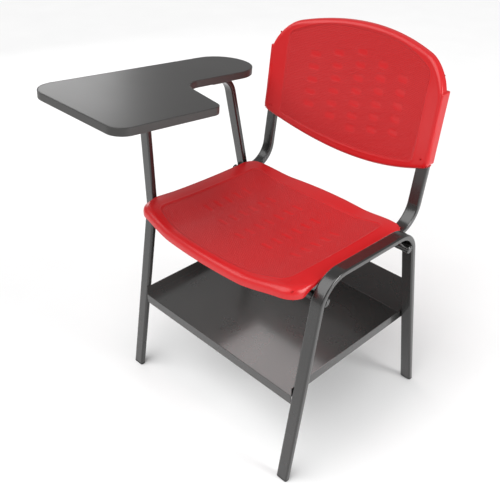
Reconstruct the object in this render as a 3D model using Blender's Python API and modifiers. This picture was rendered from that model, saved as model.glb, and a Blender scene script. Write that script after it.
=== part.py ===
"""Student chair with a bent steel frame, a moulded seat and backrest, a book tray
under the seat and a fixed writing tablet on the sitter's right.

Metres, +Z up.  +X is the sitter's left and -Y is the sitter's front.  Pieces are
drawn about the middle of the frame and then moved together, so that the origin
lies on the floor at the middle of the whole chair's box.
"""

import math

import bmesh
import bpy
from mathutils import Matrix, Vector

# ---- clearances ------------------------------------------------------------
GAP = 0.0003                 # left between pieces that touch
SEAT_SIDE_GAP = 0.0052       # seat edge to the side frame
SUPPORT_GAP = 0.0065         # back support to the side frame
SEAT_REST = 0.0018           # seat border above the back supports
SEAT_CLEARANCE = 0.0010      # middle of the seat above the cross bars

# ---- flat-sided oval tube --------------------------------------------------
TUBE_WIDTH = 0.0280
TUBE_DEPTH = 0.0130
TUBE_CORNER = 0.0040
TUBE_WALL = 0.0015

# ---- side frames -----------------------------------------------------------
FRAME_WIDTH = 0.5300         # over the outer faces of both side frames
FRONT_FOOT_Y = -0.4525
FOOT_SPREAD = 0.4421         # front foot to rear foot
LEG_LEAN = math.radians(10.5)
RAIL_RISE = 0.0434           # top rail above the cross bars, at its front
RAIL_FALL = math.radians(1.4)
RAIL_FRONT_BEND = 0.0650
RAIL_REAR_BEND = 0.0500
FOOT_HEIGHT = 0.0040         # plastic foot below the end of the tube
PLUG_DEPTH = 0.0180          # stem of a foot or end plug inside its tube
PLUG_HEAD = 0.0020
FOOT_EDGE = 0.0015           # rounding under a foot

# ---- cross bars ------------------------------------------------------------
BAR_HEIGHT = 0.4212          # middle of the bars above the floor
BAR_DIAMETER = 0.0180
BAR_WALL = 0.0015
BAR_CAP = 0.0015
BAR_END_INSET = 0.0005       # bar ends inside the outer faces of the frames
FRONT_BAR_SETBACK = 0.0090   # from the middle of the front leg
REAR_BAR_SETBACK = 0.0150    # from the middle of the rear leg

# ---- back supports, which also carry the seat ------------------------------
SUPPORT_REACH = 0.0100       # past the front bar
SUPPORT_BEND = 0.0600
SUPPORT_CORNER_Y = -0.0410
SUPPORT_TOP = BAR_HEIGHT + 0.2938
BACK_LEAN = math.radians(9.5)

# ---- seat ------------------------------------------------------------------
SEAT_WALL = 0.0035
SEAT_REAR_Y = -0.0830
SEAT_FRONT_Y = -0.4240
SEAT_REAR_BOW = 0.0290
SEAT_FRONT_BOW = 0.0230
SEAT_REAR_CORNER = 0.0260
SEAT_FRONT_CORNER = 0.0320
SEAT_FALL = 0.0205           # drop towards the back, per metre of depth
SEAT_DISH = 0.1870           # rise towards front and back, per metre squared
SEAT_FLAT = 0.1000           # half width of the level middle
SEAT_EDGE_ROLL = 0.0038
SEAT_FRONT_ROLL = 0.0160
SEAT_EDGE = 0.0010           # straight edge below the roll, all round
SEAT_LIP = 0.0060            # added to it along the front
SEAT_LIP_START = 0.0420      # where the front lip starts, behind the front corners
SEAT_LIP_RUN = 0.0200        # over which it grows

# ---- backrest --------------------------------------------------------------
BACK_WALL = 0.0030
BACK_OVERHANG = 0.0055       # past the outer side of the back supports
BACK_TAPER = 0.0040          # each side, bottom to top
BACK_BOTTOM = BAR_HEIGHT + 0.1498
BACK_SIDE_TOP = BAR_HEIGHT + 0.3428
BACK_TOP_BOW = 0.0385
BACK_BOTTOM_BOW = 0.0570
BACK_TOP_CORNER = 0.0500
BACK_BOTTOM_CORNER = 0.0130
BACK_FACE_RADIUS = 0.6460    # hollow towards the sitter
BACK_FACE_LEAN = math.radians(8.2)
BACK_FACE_BITE = 0.0010      # nearest edge of the supports into the shell's wall
BACK_ROLL = 0.0090
BACK_FLANGE = 0.0075          # straight edge behind the roll, all round
BACK_SIDE_FLANGE = 0.0035     # added to it at the sides
BACK_FLANGE_WIDTH = 0.0600    # over which it is added
SLEEVE_WALL = 0.0022
SLEEVE_CORNER = 0.0050
SLEEVE_TOP_GAP = 0.0020
SLEEVE_RISE = 0.0040         # foot of a sleeve above the shell's lowest side edge
SLEEVE_BURY = 0.0018         # front of a sleeve inside the shell's wall
POCKET_BELOW = 0.0500        # the cut for a tube starts this far below the sleeve

# ---- book tray -------------------------------------------------------------
TRAY_HEIGHT = 0.2029         # top of its floor
TRAY_SHEET = 0.0012
TRAY_RIM = 0.0225
TRAY_BACK = 0.1120
TRAY_LIP = 0.0200
TRAY_FOLD = 0.0020

# ---- writing tablet --------------------------------------------------------
TABLET_THICKNESS = 0.0160
TABLET_HEIGHT = BAR_HEIGHT + 0.2731   # top face, at TABLET_LEVEL_Y
TABLET_LEVEL_Y = -0.2650
TABLET_TILT = math.radians(5.07)
TABLET_OUTER_X = -0.3715
TABLET_INNER_X = -0.0605
TABLET_ARM_X = -0.2220
TABLET_FRONT_Y = -0.5670
TABLET_REAR_Y = -0.0415
TABLET_LOBE_Y = -0.3203
TABLET_NOTCH_Y = -0.2870
TABLET_OUTER_CORNER = 0.0550
TABLET_INNER_CORNER = 0.0340
TABLET_LOBE_CORNER = 0.0240
TABLET_NOTCH_CORNER = 0.0500
TABLET_ARM_FLAT = 0.0010     # straight left between the two round corners of the arm
EDGE_BAND = 0.0020
KNEE_HEIGHT = BAR_HEIGHT + 0.0028     # where the front post turns vertical
KNEE_BEND = 0.1200
POST_BEND = 0.0500           # top of the rear post, which turns forward under the tablet
POST_BEND_DEPTH = 0.0120     # below the tablet's top, where that turn would end
PLATE_THICKNESS = 0.0030
PLATE_LENGTH = 0.0800        # across the chair
PLATE_WIDTH = 0.0560
PLATE_INSET = 0.0090         # inboard of the posts
PLATE_EDGE = 0.0006          # bevel on a plate's edges
REAR_PLATE_Y = -0.1700

# ---- screws ----------------------------------------------------------------
SCREW_RADIUS = 0.0020
SCREW_HEAD_RADIUS = 0.0042
SCREW_HEAD_HEIGHT = 0.0024
FRONT_SCREW_INSET = 0.0450   # front seat screws behind the front bar
REAR_SCREW_INSET = 0.0270    # rear seat screws in front of the rear bar
TABLET_SCREW_BITE = 0.0120
SCREW_COVER = 0.0010         # material left over a screw's tip
SCREW_TIP = 0.0015           # length of the tapered tip
SCREW_STEPS = 12
DRILL_START = 0.0002         # a hole's cut starts this far outside the surface

# ---- fineness of the solids ------------------------------------------------
BEND_STEPS = 8
CORNER_STEPS = 3
OUTLINE_STEPS = 7
ROUND_SIDES = 24
OUTLINE_SPACING = 0.0300     # longest step along an outline
SHELL_RINGS = (0.0, 0.2, 0.4, 0.6, 0.75, 0.88, 1.0)   # from a shell's middle to its roll
ROLL_STEPS = 4
SLEEVE_STEPS = 6
MERGE = 0.00001              # points closer than this are one
FACING = 0.9                 # cosine above which a face points a given way
SHARP = math.radians(35)     # edges sharper than this are shaded as edges
FLAT = math.radians(0.1)     # faces that turn less than this are made one

# ---- worked-out places -----------------------------------------------------
HALF_FRAME = FRAME_WIDTH / 2
FRAME_X = HALF_FRAME - TUBE_WIDTH / 2
FRAME_INNER_X = HALF_FRAME - TUBE_WIDTH
SUPPORT_X = FRAME_INNER_X - SUPPORT_GAP - TUBE_WIDTH / 2
REAR_FOOT_Y = FRONT_FOOT_Y + FOOT_SPREAD
LEAN = math.tan(LEG_LEAN)
FRONT_BAR_Y = FRONT_FOOT_Y + LEAN * BAR_HEIGHT + FRONT_BAR_SETBACK
REAR_BAR_Y = REAR_FOOT_Y - LEAN * BAR_HEIGHT - REAR_BAR_SETBACK
SUPPORT_Z = BAR_HEIGHT + BAR_DIAMETER / 2 + GAP + TUBE_DEPTH / 2
SEAT_MIDDLE_Y = (SEAT_REAR_Y + SEAT_FRONT_Y) / 2
SEAT_Z = BAR_HEIGHT + BAR_DIAMETER / 2 + SEAT_CLEARANCE + SEAT_WALL
SEAT_BORDER_RISE = SUPPORT_Z + TUBE_DEPTH / 2 + GAP + SEAT_REST + SEAT_WALL - SEAT_Z
SEAT_HALF = FRAME_INNER_X - SEAT_SIDE_GAP
BACK_HALF = SUPPORT_X + TUBE_WIDTH / 2 + BACK_OVERHANG
UPRIGHT_Y = FRONT_FOOT_Y + LEAN * KNEE_HEIGHT

STEEL = ("powder_coated_steel", (0.042, 0.040, 0.038), 0.35, 0.0)
BLACK_PLASTIC = ("black_plastic", (0.030, 0.029, 0.028), 0.45, 0.0)
RED_PLASTIC = ("red_polypropylene", (0.520, 0.028, 0.035), 0.40, 0.0)
TRAY_STEEL = ("tray_steel", (0.060, 0.058, 0.055), 0.35, 0.0)
LAMINATE = ("grey_laminate", (0.085, 0.083, 0.080), 0.45, 0.0)
BAND_PLASTIC = ("grey_edge_band", (0.100, 0.098, 0.095), 0.45, 0.0)
ZINC = ("zinc_plated_steel", (0.560, 0.560, 0.570), 0.30, 1.0)


# ---- scene -----------------------------------------------------------------
def clear_scene():
    for thing in list(bpy.data.objects):
        bpy.data.objects.remove(thing, do_unlink=True)


def new_collection(name):
    collection = bpy.data.collections.new(name)
    bpy.context.scene.collection.children.link(collection)
    return collection


clear_scene()
CHAIR = new_collection("student_desk_chair")
CUTTERS = new_collection("cutters")
ROOT = bpy.data.objects.new("chair_root", None)
CHAIR.objects.link(ROOT)


def material_for(finish):
    name, colour, roughness, metallic = finish
    material = bpy.data.materials.get(name) or bpy.data.materials.new(name)
    material.use_nodes = True
    shader = material.node_tree.nodes["Principled BSDF"]
    shader.inputs["Base Color"].default_value = (*colour, 1.0)
    shader.inputs["Roughness"].default_value = roughness
    shader.inputs["Metallic"].default_value = metallic
    return material


def add_piece(name, mesh, finish):
    """Put a mesh in the chair as one named piece."""
    piece = bpy.data.objects.new(name, mesh)
    CHAIR.objects.link(piece)
    piece.parent = ROOT
    mesh.name = name
    mesh.materials.clear()
    mesh.materials.append(material_for(finish))
    mesh.shade_smooth()
    mesh.set_sharp_from_angle(angle=SHARP)
    return piece


def add_cutter(name, mesh):
    cutter = bpy.data.objects.new(name, mesh)
    CUTTERS.objects.link(cutter)
    cutter.parent = ROOT
    cutter.hide_render = True
    cutter.display_type = "WIRE"
    return cutter


def cut(piece, cutter, operation="DIFFERENCE"):
    boolean = piece.modifiers.new(cutter.name, "BOOLEAN")
    boolean.operation = operation
    boolean.solver = "EXACT"
    boolean.object = cutter


def give_thickness(piece, wall, offset=-1.0):
    solidify = piece.modifiers.new("Wall", "SOLIDIFY")
    solidify.thickness = wall
    solidify.offset = offset
    solidify.use_even_offset = True


def mesh_from(work, name):
    mesh = bpy.data.meshes.new(name)
    work.to_mesh(mesh)
    work.free()
    return mesh


# ---- outlines and paths ----------------------------------------------------
def arc_between(start, end, centre, steps):
    """Points on the arc from start to end about centre."""
    first = start - centre
    last = end - centre
    sweep = first.angle(last)
    points = []
    for step in range(steps + 1):
        share = step / steps
        near = first * (math.sin((1 - share) * sweep) / math.sin(sweep))
        far = last * (math.sin(share * sweep) / math.sin(sweep))
        points.append(centre + near + far)
    return points


def round_corner(before, corner, after, radius, steps):
    back = (before - corner).normalized()
    on = (after - corner).normalized()
    half = back.angle(on) / 2
    reach = radius / math.tan(half)
    centre = corner + (back + on).normalized() * (radius / math.sin(half))
    return arc_between(corner + back * reach, corner + on * reach, centre, steps)


def rounded_path(corners, radii, steps=BEND_STEPS):
    """Open path through corners, each inner one rounded to its radius."""
    points = [corners[0]]
    for index, radius in enumerate(radii, start=1):
        points += round_corner(corners[index - 1], corners[index], corners[index + 1], radius, steps)
    points.append(corners[-1])
    return points


def rounded_outline(corners, radii, steps=OUTLINE_STEPS, spacing=OUTLINE_SPACING):
    """Closed outline through corners, with points no further apart than spacing."""
    points = []
    count = len(corners)
    for index, radius in enumerate(radii):
        after = corners[(index + 1) % count]
        points += round_corner(corners[index - 1], corners[index], after, radius, steps)
    filled = []
    for index, point in enumerate(points):
        following = points[(index + 1) % len(points)]
        pieces = max(1, math.ceil((following - point).length / spacing))
        filled += [point.lerp(following, piece / pieces) for piece in range(pieces)]
    return filled


def outward_normals(outline):
    """Unit normals of a closed, anticlockwise outline in its own plane."""
    normals = []
    for index in range(len(outline)):
        along = outline[(index + 1) % len(outline)] - outline[index - 1]
        normals.append(Vector((along.y, -along.x)).normalized())
    return normals


def moved_outline(outline, distance):
    return [point + normal * distance for point, normal in zip(outline, outward_normals(outline))]


def smooth_step(value):
    value = min(max(value, 0.0), 1.0)
    return value * value * (3 - 2 * value)


# ---- shapes ----------------------------------------------------------------
def flat_curve(name, loops, thickness):
    """Filled plate of one or more flat loops, thickness along Z, resting on Z = 0."""
    curve = bpy.data.curves.new(name, "CURVE")
    curve.dimensions = "2D"
    curve.fill_mode = "BOTH"
    curve.extrude = thickness / 2
    for loop in loops:
        spline = curve.splines.new("POLY")
        spline.points.add(len(loop) - 1)
        for place, point in zip(spline.points, loop):
            place.co = (point.x, point.y, 0.0, 1.0)
        spline.use_cyclic_u = True
    work = bmesh.new()
    work.from_mesh(mesh_of_curve(curve))
    work.transform(Matrix.Translation((0, 0, thickness / 2)))
    bmesh.ops.dissolve_limit(work, angle_limit=FLAT, verts=work.verts, edges=work.edges)
    return mesh_from(work, name)


def mesh_of_curve(curve):
    """Closed mesh of a curve, its caps welded and its faces pointing out."""
    holder = bpy.data.objects.new("curve", curve)
    CUTTERS.objects.link(holder)
    graph = bpy.context.evaluated_depsgraph_get()
    mesh = bpy.data.meshes.new_from_object(holder.evaluated_get(graph))
    bpy.data.objects.remove(holder, do_unlink=True)
    work = bmesh.new()
    work.from_mesh(mesh)
    bmesh.ops.remove_doubles(work, verts=work.verts, dist=MERGE)
    bmesh.ops.recalc_face_normals(work, faces=work.faces)
    work.to_mesh(mesh)
    work.free()
    return mesh


def tube_section(grow):
    """Outline of the oval tube, grown on all sides."""
    half_width = TUBE_WIDTH / 2 + grow
    half_depth = TUBE_DEPTH / 2 + grow
    corners = [Vector((half_width * x, half_depth * y)) for x, y in ((-1, -1), (1, -1), (1, 1), (-1, 1))]
    return rounded_outline(corners, [TUBE_CORNER + grow] * 4, CORNER_STEPS, 1.0)


def swept_tube(name, x, path, grow=0.0):
    """Solid oval tube along a path of (y, z) points at one x, its width along X."""
    profile_curve = bpy.data.curves.new(name + "_section", "CURVE")
    profile_curve.dimensions = "2D"
    outline = tube_section(grow)
    spline = profile_curve.splines.new("POLY")
    spline.points.add(len(outline) - 1)
    for place, point in zip(spline.points, outline):
        place.co = (point.x, point.y, 0.0, 1.0)
    spline.use_cyclic_u = True
    profile = bpy.data.objects.new(name + "_section", profile_curve)
    CUTTERS.objects.link(profile)
    curve = bpy.data.curves.new(name, "CURVE")
    curve.dimensions = "3D"
    curve.twist_mode = "MINIMUM"
    curve.bevel_mode = "OBJECT"
    curve.bevel_object = profile
    curve.use_fill_caps = True
    route = curve.splines.new("POLY")
    route.points.add(len(path) - 1)
    for place, point in zip(route.points, path):
        place.co = (x, point.x, point.y, 1.0)
    mesh = mesh_of_curve(curve)
    bpy.data.objects.remove(profile, do_unlink=True)
    return mesh


def open_ends(mesh, path):
    """Remove the end faces of a swept tube, which leaves its side wall."""
    work = bmesh.new()
    work.from_mesh(mesh)
    ends = []
    for end, inner in ((path[0], path[1]), (path[-1], path[-2])):
        along = Vector((0, end.x - inner.x, end.y - inner.y)).normalized()
        place = along.dot(Vector((0, end.x, end.y)))
        for face in work.faces:
            middle = face.calc_center_median()
            if abs(along.dot(middle) - place) < GAP and face.normal.dot(along) > FACING:
                ends.append(face)
    bmesh.ops.delete(work, geom=ends, context="FACES")
    work.to_mesh(mesh)
    work.free()


def oval_plug(head, stem, edge=0.0):
    """Plug of the oval tube: a head from Z = 0 up, then a narrower stem."""
    work = bmesh.new()
    bmesh.ops.create_cube(work, size=1.0)
    bmesh.ops.scale(work, vec=(TUBE_WIDTH, TUBE_DEPTH, head), verts=work.verts)
    bmesh.ops.translate(work, vec=(0, 0, head / 2), verts=work.verts)
    upright = [e for e in work.edges if abs(e.verts[0].co.z - e.verts[1].co.z) > head / 2]
    bmesh.ops.bevel(work, geom=upright, offset=TUBE_CORNER, segments=CORNER_STEPS, profile=0.5,
                    affect="EDGES")
    top = [face for face in work.faces if face.normal.z > FACING]
    bmesh.ops.inset_region(work, faces=top, thickness=TUBE_WALL + GAP, use_even_offset=True)
    grown = bmesh.ops.extrude_face_region(work, geom=top)
    raised = [item for item in grown["geom"] if isinstance(item, bmesh.types.BMVert)]
    bmesh.ops.translate(work, vec=(0, 0, stem), verts=raised)
    bmesh.ops.delete(work, geom=top, context="FACES")
    if edge:
        rim = [e for e in work.edges if all(v.co.z < head / 10 for v in e.verts)]
        bmesh.ops.bevel(work, geom=rim, offset=edge, segments=2, profile=0.5, affect="EDGES")
    bmesh.ops.recalc_face_normals(work, faces=work.faces)
    return mesh_from(work, "plug")


def round_bar(radius, length):
    """Open round tube along X."""
    work = bmesh.new()
    bmesh.ops.create_cone(work, cap_ends=False, segments=ROUND_SIDES, radius1=radius,
                          radius2=radius, depth=length)
    bmesh.ops.rotate(work, cent=(0, 0, 0), matrix=Matrix.Rotation(math.pi / 2, 3, "Y"), verts=work.verts)
    return mesh_from(work, "bar")


def round_plug(radius, inner, head, stem):
    """Disc with a stem behind it, along +Z from Z = 0."""
    work = bmesh.new()
    bmesh.ops.create_cone(work, cap_ends=True, segments=ROUND_SIDES, radius1=radius,
                          radius2=radius, depth=head)
    bmesh.ops.translate(work, vec=(0, 0, head / 2), verts=work.verts)
    top = [face for face in work.faces if face.normal.z > FACING]
    bmesh.ops.inset_region(work, faces=top, thickness=radius - inner, use_even_offset=True)
    grown = bmesh.ops.extrude_face_region(work, geom=top)
    raised = [item for item in grown["geom"] if isinstance(item, bmesh.types.BMVert)]
    bmesh.ops.translate(work, vec=(0, 0, stem), verts=raised)
    bmesh.ops.delete(work, geom=top, context="FACES")
    bmesh.ops.recalc_face_normals(work, faces=work.faces)
    return mesh_from(work, "cap")


def cylinder_mesh(radius, bottom, top):
    work = bmesh.new()
    bmesh.ops.create_cone(work, cap_ends=True, segments=ROUND_SIDES, radius1=radius,
                          radius2=radius, depth=top - bottom)
    bmesh.ops.translate(work, vec=(0, 0, (bottom + top) / 2), verts=work.verts)
    return mesh_from(work, "cylinder")


def box_mesh(low, high):
    work = bmesh.new()
    bmesh.ops.create_cube(work, size=1.0)
    size = [b - a for a, b in zip(low, high)]
    middle = [(a + b) / 2 for a, b in zip(low, high)]
    bmesh.ops.scale(work, vec=size, verts=work.verts)
    bmesh.ops.translate(work, vec=middle, verts=work.verts)
    return mesh_from(work, "box")


def moulded_shell(outline, centre, surface, roll, skirt, place):
    """Open shell inside an outline: it follows surface(a, b), rolls over at its edge by
    roll(a, b) and then runs back by skirt(a, b).  place(a, b, c) puts a point in the chair."""
    rings = len(SHELL_RINGS) + ROLL_STEPS + 1
    around = len(outline)
    normals = outward_normals(outline)
    work = bmesh.new()
    bmesh.ops.create_grid(work, x_segments=around, y_segments=rings - 1, size=0.5)
    columns = sorted({round(vert.co.x, 5) for vert in work.verts})
    rows = sorted({round(vert.co.y, 5) for vert in work.verts})
    for vert in work.verts:
        index = columns.index(round(vert.co.x, 5)) % around
        ring = rows.index(round(vert.co.y, 5))
        edge = outline[index]
        radius = roll(edge.x, edge.y)
        inner = edge - normals[index] * radius
        if ring < len(SHELL_RINGS):
            spot = centre.lerp(inner, SHELL_RINGS[ring])
            depth = 0.0
        else:
            turn = min(ring - len(SHELL_RINGS) + 1, ROLL_STEPS) / ROLL_STEPS * math.pi / 2
            spot = inner + normals[index] * (radius * math.sin(turn))
            depth = radius * (1 - math.cos(turn))
            if ring == rings - 1:
                depth += skirt(edge.x, edge.y)
        base = spot if ring < len(SHELL_RINGS) else inner
        vert.co = place(spot.x, spot.y, surface(base.x, base.y) - depth)
    bmesh.ops.remove_doubles(work, verts=work.verts, dist=MERGE)
    work.normal_update()
    return work


def turned_screw(name, length, place, direction):
    """Pan-head screw: its head sits at place and its shank runs along direction."""
    outer = SCREW_HEAD_RADIUS
    profile = [(0.0, length), (SCREW_RADIUS * 0.4, length), (SCREW_RADIUS, length - SCREW_TIP),
               (SCREW_RADIUS, 0.0), (outer, 0.0), (outer, -SCREW_HEAD_HEIGHT * 0.5),
               (outer * 0.75, -SCREW_HEAD_HEIGHT * 0.92), (0.0, -SCREW_HEAD_HEIGHT)]
    work = bmesh.new()
    verts = [work.verts.new((radius, 0.0, height)) for radius, height in profile]
    for first, second in zip(verts, verts[1:]):
        work.edges.new((first, second))
    piece = add_piece(name, mesh_from(work, name), ZINC)
    screw = piece.modifiers.new("Turn", "SCREW")
    screw.steps = SCREW_STEPS
    screw.render_steps = SCREW_STEPS
    screw.use_merge_vertices = True
    screw.merge_threshold = MERGE
    piece.location = place
    piece.rotation_euler = direction.to_track_quat("Z", "Y").to_euler()
    return piece


def drill(name, radius, place, direction, length, *pieces):
    """Cut a round hole into pieces, from behind place along direction."""
    cutter = add_cutter(name, cylinder_mesh(radius, -DRILL_START, length))
    cutter.location = place
    cutter.rotation_euler = direction.to_track_quat("Z", "Y").to_euler()
    for piece in pieces:
        cut(piece, cutter)


# ---- side frames -----------------------------------------------------------
def rail_height(y):
    front_corner_y = FRONT_FOOT_Y + LEAN * (BAR_HEIGHT + RAIL_RISE)
    return BAR_HEIGHT + RAIL_RISE - math.tan(RAIL_FALL) * (y - front_corner_y)


def tablet_top(y):
    return TABLET_HEIGHT - math.tan(TABLET_TILT) * (y - TABLET_LEVEL_Y)


def turn_height(y):
    """Sloping line that the top of the rear post turns towards."""
    return tablet_top(y) - POST_BEND_DEPTH / math.cos(TABLET_TILT)


def rear_corner(height_at):
    """Point where the rear leg meets a sloping line of height_at(y)."""
    z = height_at(REAR_FOOT_Y)
    for _ in range(12):
        z = height_at(REAR_FOOT_Y - LEAN * z)
    return Vector((REAR_FOOT_Y - LEAN * z, z))


def leg_ends():
    """Path ends, drawn on below the floor so that they can be cut level."""
    below = TUBE_DEPTH
    front = Vector((FRONT_FOOT_Y - LEAN * below, -below))
    rear = Vector((REAR_FOOT_Y + LEAN * below, -below))
    return front, rear


def plain_frame_path():
    front, rear = leg_ends()
    top = BAR_HEIGHT + RAIL_RISE
    corners = [front, Vector((FRONT_FOOT_Y + LEAN * top, top)), rear_corner(rail_height), rear]
    return rounded_path(corners, [RAIL_FRONT_BEND, RAIL_REAR_BEND])


def front_post_path():
    front = leg_ends()[0]
    top = Vector((UPRIGHT_Y, TABLET_HEIGHT + TUBE_WIDTH))
    return rounded_path([front, Vector((UPRIGHT_Y, KNEE_HEIGHT)), top], [KNEE_BEND])


def rear_post_path():
    rear = leg_ends()[1]
    inside = Vector((UPRIGHT_Y, turn_height(UPRIGHT_Y)))
    return rounded_path([inside, rear_corner(turn_height), rear], [POST_BEND])


def side_frame(name, x, path, floor_cutter):
    mesh = swept_tube(name, x, path)
    open_ends(mesh, path)
    frame = add_piece(name, mesh, STEEL)
    give_thickness(frame, TUBE_WALL)
    cut(frame, floor_cutter)
    return frame


def leg_foot(name, x, foot_y, lean):
    """Plastic foot, level below and leaning with its leg."""
    mesh = oval_plug(FOOT_HEIGHT, PLUG_DEPTH, edge=FOOT_EDGE)
    stretch = Matrix.Diagonal((1, 1 / math.cos(LEG_LEAN), 1, 1))
    shear = Matrix.Identity(4)
    shear[1][2] = lean
    mesh.transform(shear @ stretch)
    foot = add_piece(name, mesh, BLACK_PLASTIC)
    foot.location = (x, foot_y, 0.0)


def make_side_frames():
    plenty = FRAME_WIDTH + FOOT_SPREAD
    floor_box = box_mesh((-plenty, -plenty, -plenty), (plenty, plenty, FOOT_HEIGHT + GAP))
    floor_cutter = add_cutter("floor_cutter", floor_box)
    plain_path = plain_frame_path()
    side_frame("side_frame_plain", FRAME_X, plain_path, floor_cutter)
    plate_cutter = add_cutter("plate_cutter", box_mesh((-plenty, -plenty, 0.0), (plenty, plenty, plenty)))
    plate_cutter.location = on_tablet(0.0, TABLET_LEVEL_Y, TABLET_THICKNESS + PLATE_THICKNESS + 2 * GAP)
    plate_cutter.rotation_euler = (-TABLET_TILT, 0, 0)
    leg_cutters = [add_cutter("plain_leg_cutter", swept_tube("plain_leg", FRAME_X, plain_path, GAP))]
    for end, path in (("front", front_post_path()), ("rear", rear_post_path())):
        post = side_frame(f"post_{end}_tablet", -FRAME_X, path, floor_cutter)
        cut(post, plate_cutter)
        leg = swept_tube("post_leg", -FRAME_X, path, GAP)
        leg_cutters.append(add_cutter(f"post_{end}_cutter", leg))
    for side, x in (("plain", FRAME_X), ("tablet", -FRAME_X)):
        leg_foot(f"foot_front_{side}", x, FRONT_FOOT_Y, LEAN)
        leg_foot(f"foot_rear_{side}", x, REAR_FOOT_Y, -LEAN)
    return leg_cutters


# ---- cross bars ------------------------------------------------------------
def make_cross_bars(leg_cutters):
    """Two round bars, notched around the legs, with a flat cap in each end."""
    plain_cutter, front_cutter, rear_cutter = leg_cutters
    half = HALF_FRAME - BAR_END_INSET - BAR_CAP - GAP
    radius = BAR_DIAMETER / 2
    for end, y, post_cutter in (("front", FRONT_BAR_Y, front_cutter), ("rear", REAR_BAR_Y, rear_cutter)):
        bar = add_piece(f"cross_bar_{end}", round_bar(radius, 2 * half), STEEL)
        bar.location = (0, y, BAR_HEIGHT)
        give_thickness(bar, BAR_WALL)
        cut(bar, plain_cutter)
        cut(bar, post_cutter)
        for side, sign, cutter in (("plain", 1, plain_cutter), ("tablet", -1, post_cutter)):
            mesh = round_plug(radius, radius - BAR_WALL - GAP, BAR_CAP, BAR_DIAMETER / 2)
            cap = add_piece(f"bar_cap_{end}_{side}", mesh, STEEL)
            cap.location = (sign * (HALF_FRAME - BAR_END_INSET), y, BAR_HEIGHT)
            cap.rotation_euler = (0, -sign * math.pi / 2, 0)
            cut(cap, cutter)


# ---- back supports ---------------------------------------------------------
def support_y(z):
    """Middle of the leaning part of a back support at a height."""
    return SUPPORT_CORNER_Y + math.tan(BACK_LEAN) * (z - SUPPORT_Z)


def support_path():
    front = Vector((FRONT_BAR_Y - SUPPORT_REACH, SUPPORT_Z))
    corner = Vector((SUPPORT_CORNER_Y, SUPPORT_Z))
    top = Vector((support_y(SUPPORT_TOP), SUPPORT_TOP))
    return rounded_path([front, corner, top], [SUPPORT_BEND])


def make_back_supports():
    supports = []
    path = support_path()
    up = Vector((0, math.sin(BACK_LEAN), math.cos(BACK_LEAN)))
    for side, sign in (("plain", 1), ("tablet", -1)):
        x = sign * SUPPORT_X
        mesh = swept_tube("support", x, path)
        open_ends(mesh, path)
        support = add_piece(f"back_support_{side}", mesh, STEEL)
        give_thickness(support, TUBE_WALL)
        supports.append((side, sign, support))
        front_plug = add_piece(f"support_plug_front_{side}", oval_plug(PLUG_HEAD, PLUG_DEPTH), BLACK_PLASTIC)
        front_plug.location = (x, path[0].x - PLUG_HEAD - GAP, SUPPORT_Z)
        front_plug.rotation_euler = (-math.pi / 2, 0, 0)
        top_plug = add_piece(f"support_plug_top_{side}", oval_plug(PLUG_HEAD, PLUG_DEPTH), BLACK_PLASTIC)
        top = Vector((x, path[-1].x, path[-1].y)) + up * (PLUG_HEAD + GAP)
        top_plug.location = top
        top_plug.rotation_euler = (math.pi - BACK_LEAN, 0, 0)
    return supports


# ---- seat ------------------------------------------------------------------
def seat_outline():
    corners = [Vector((-SEAT_HALF, SEAT_FRONT_Y)), Vector((SEAT_HALF, SEAT_FRONT_Y)),
               Vector((SEAT_HALF, SEAT_REAR_Y)), Vector((-SEAT_HALF, SEAT_REAR_Y))]
    radii = [SEAT_FRONT_CORNER, SEAT_FRONT_CORNER, SEAT_REAR_CORNER, SEAT_REAR_CORNER]
    bowed = []
    for point in rounded_outline(corners, radii):
        rearward = (point.y - SEAT_FRONT_Y) / (SEAT_REAR_Y - SEAT_FRONT_Y)
        bow = SEAT_REAR_BOW * rearward - SEAT_FRONT_BOW * (1 - rearward)
        bowed.append(Vector((point.x, point.y + bow * (1 - (point.x / SEAT_HALF) ** 2))))
    return bowed


def seat_surface(x, y):
    """Height of the seat's upper face."""
    along = y - SEAT_MIDDLE_Y
    border = smooth_step((abs(x) - SEAT_FLAT) / (SUPPORT_X - SEAT_FLAT))
    return SEAT_Z - SEAT_FALL * along + SEAT_DISH * along * along + SEAT_BORDER_RISE * border


def seat_frontness(y):
    return smooth_step((SEAT_FRONT_Y + SEAT_LIP_START - y) / SEAT_LIP_RUN)


def make_seat():
    def roll(x, y):
        return SEAT_EDGE_ROLL + (SEAT_FRONT_ROLL - SEAT_EDGE_ROLL) * seat_frontness(y)

    def skirt(x, y):
        return SEAT_EDGE + SEAT_LIP * seat_frontness(y)

    def place(a, b, c):
        return Vector((a, b, c))

    centre = Vector((0, SEAT_MIDDLE_Y))
    work = moulded_shell(seat_outline(), centre, seat_surface, roll, skirt, place)
    if sum(face.normal.z for face in work.faces) < 0:
        bmesh.ops.reverse_faces(work, faces=work.faces)
    seat = add_piece("seat_shell", mesh_from(work, "seat"), RED_PLASTIC)
    give_thickness(seat, SEAT_WALL)
    return seat


# ---- backrest --------------------------------------------------------------
def back_outline():
    top_half = BACK_HALF - BACK_TAPER
    corners = [Vector((-BACK_HALF, BACK_BOTTOM)), Vector((BACK_HALF, BACK_BOTTOM)),
               Vector((top_half, BACK_SIDE_TOP)), Vector((-top_half, BACK_SIDE_TOP))]
    radii = [BACK_BOTTOM_CORNER, BACK_BOTTOM_CORNER, BACK_TOP_CORNER, BACK_TOP_CORNER]
    bowed = []
    for point in rounded_outline(corners, radii):
        upward = (point.y - BACK_BOTTOM) / (BACK_SIDE_TOP - BACK_BOTTOM)
        bow = BACK_TOP_BOW * upward - BACK_BOTTOM_BOW * (1 - upward)
        bowed.append(Vector((point.x, point.y + bow * (1 - (point.x / BACK_HALF) ** 2))))
    return bowed


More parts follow.
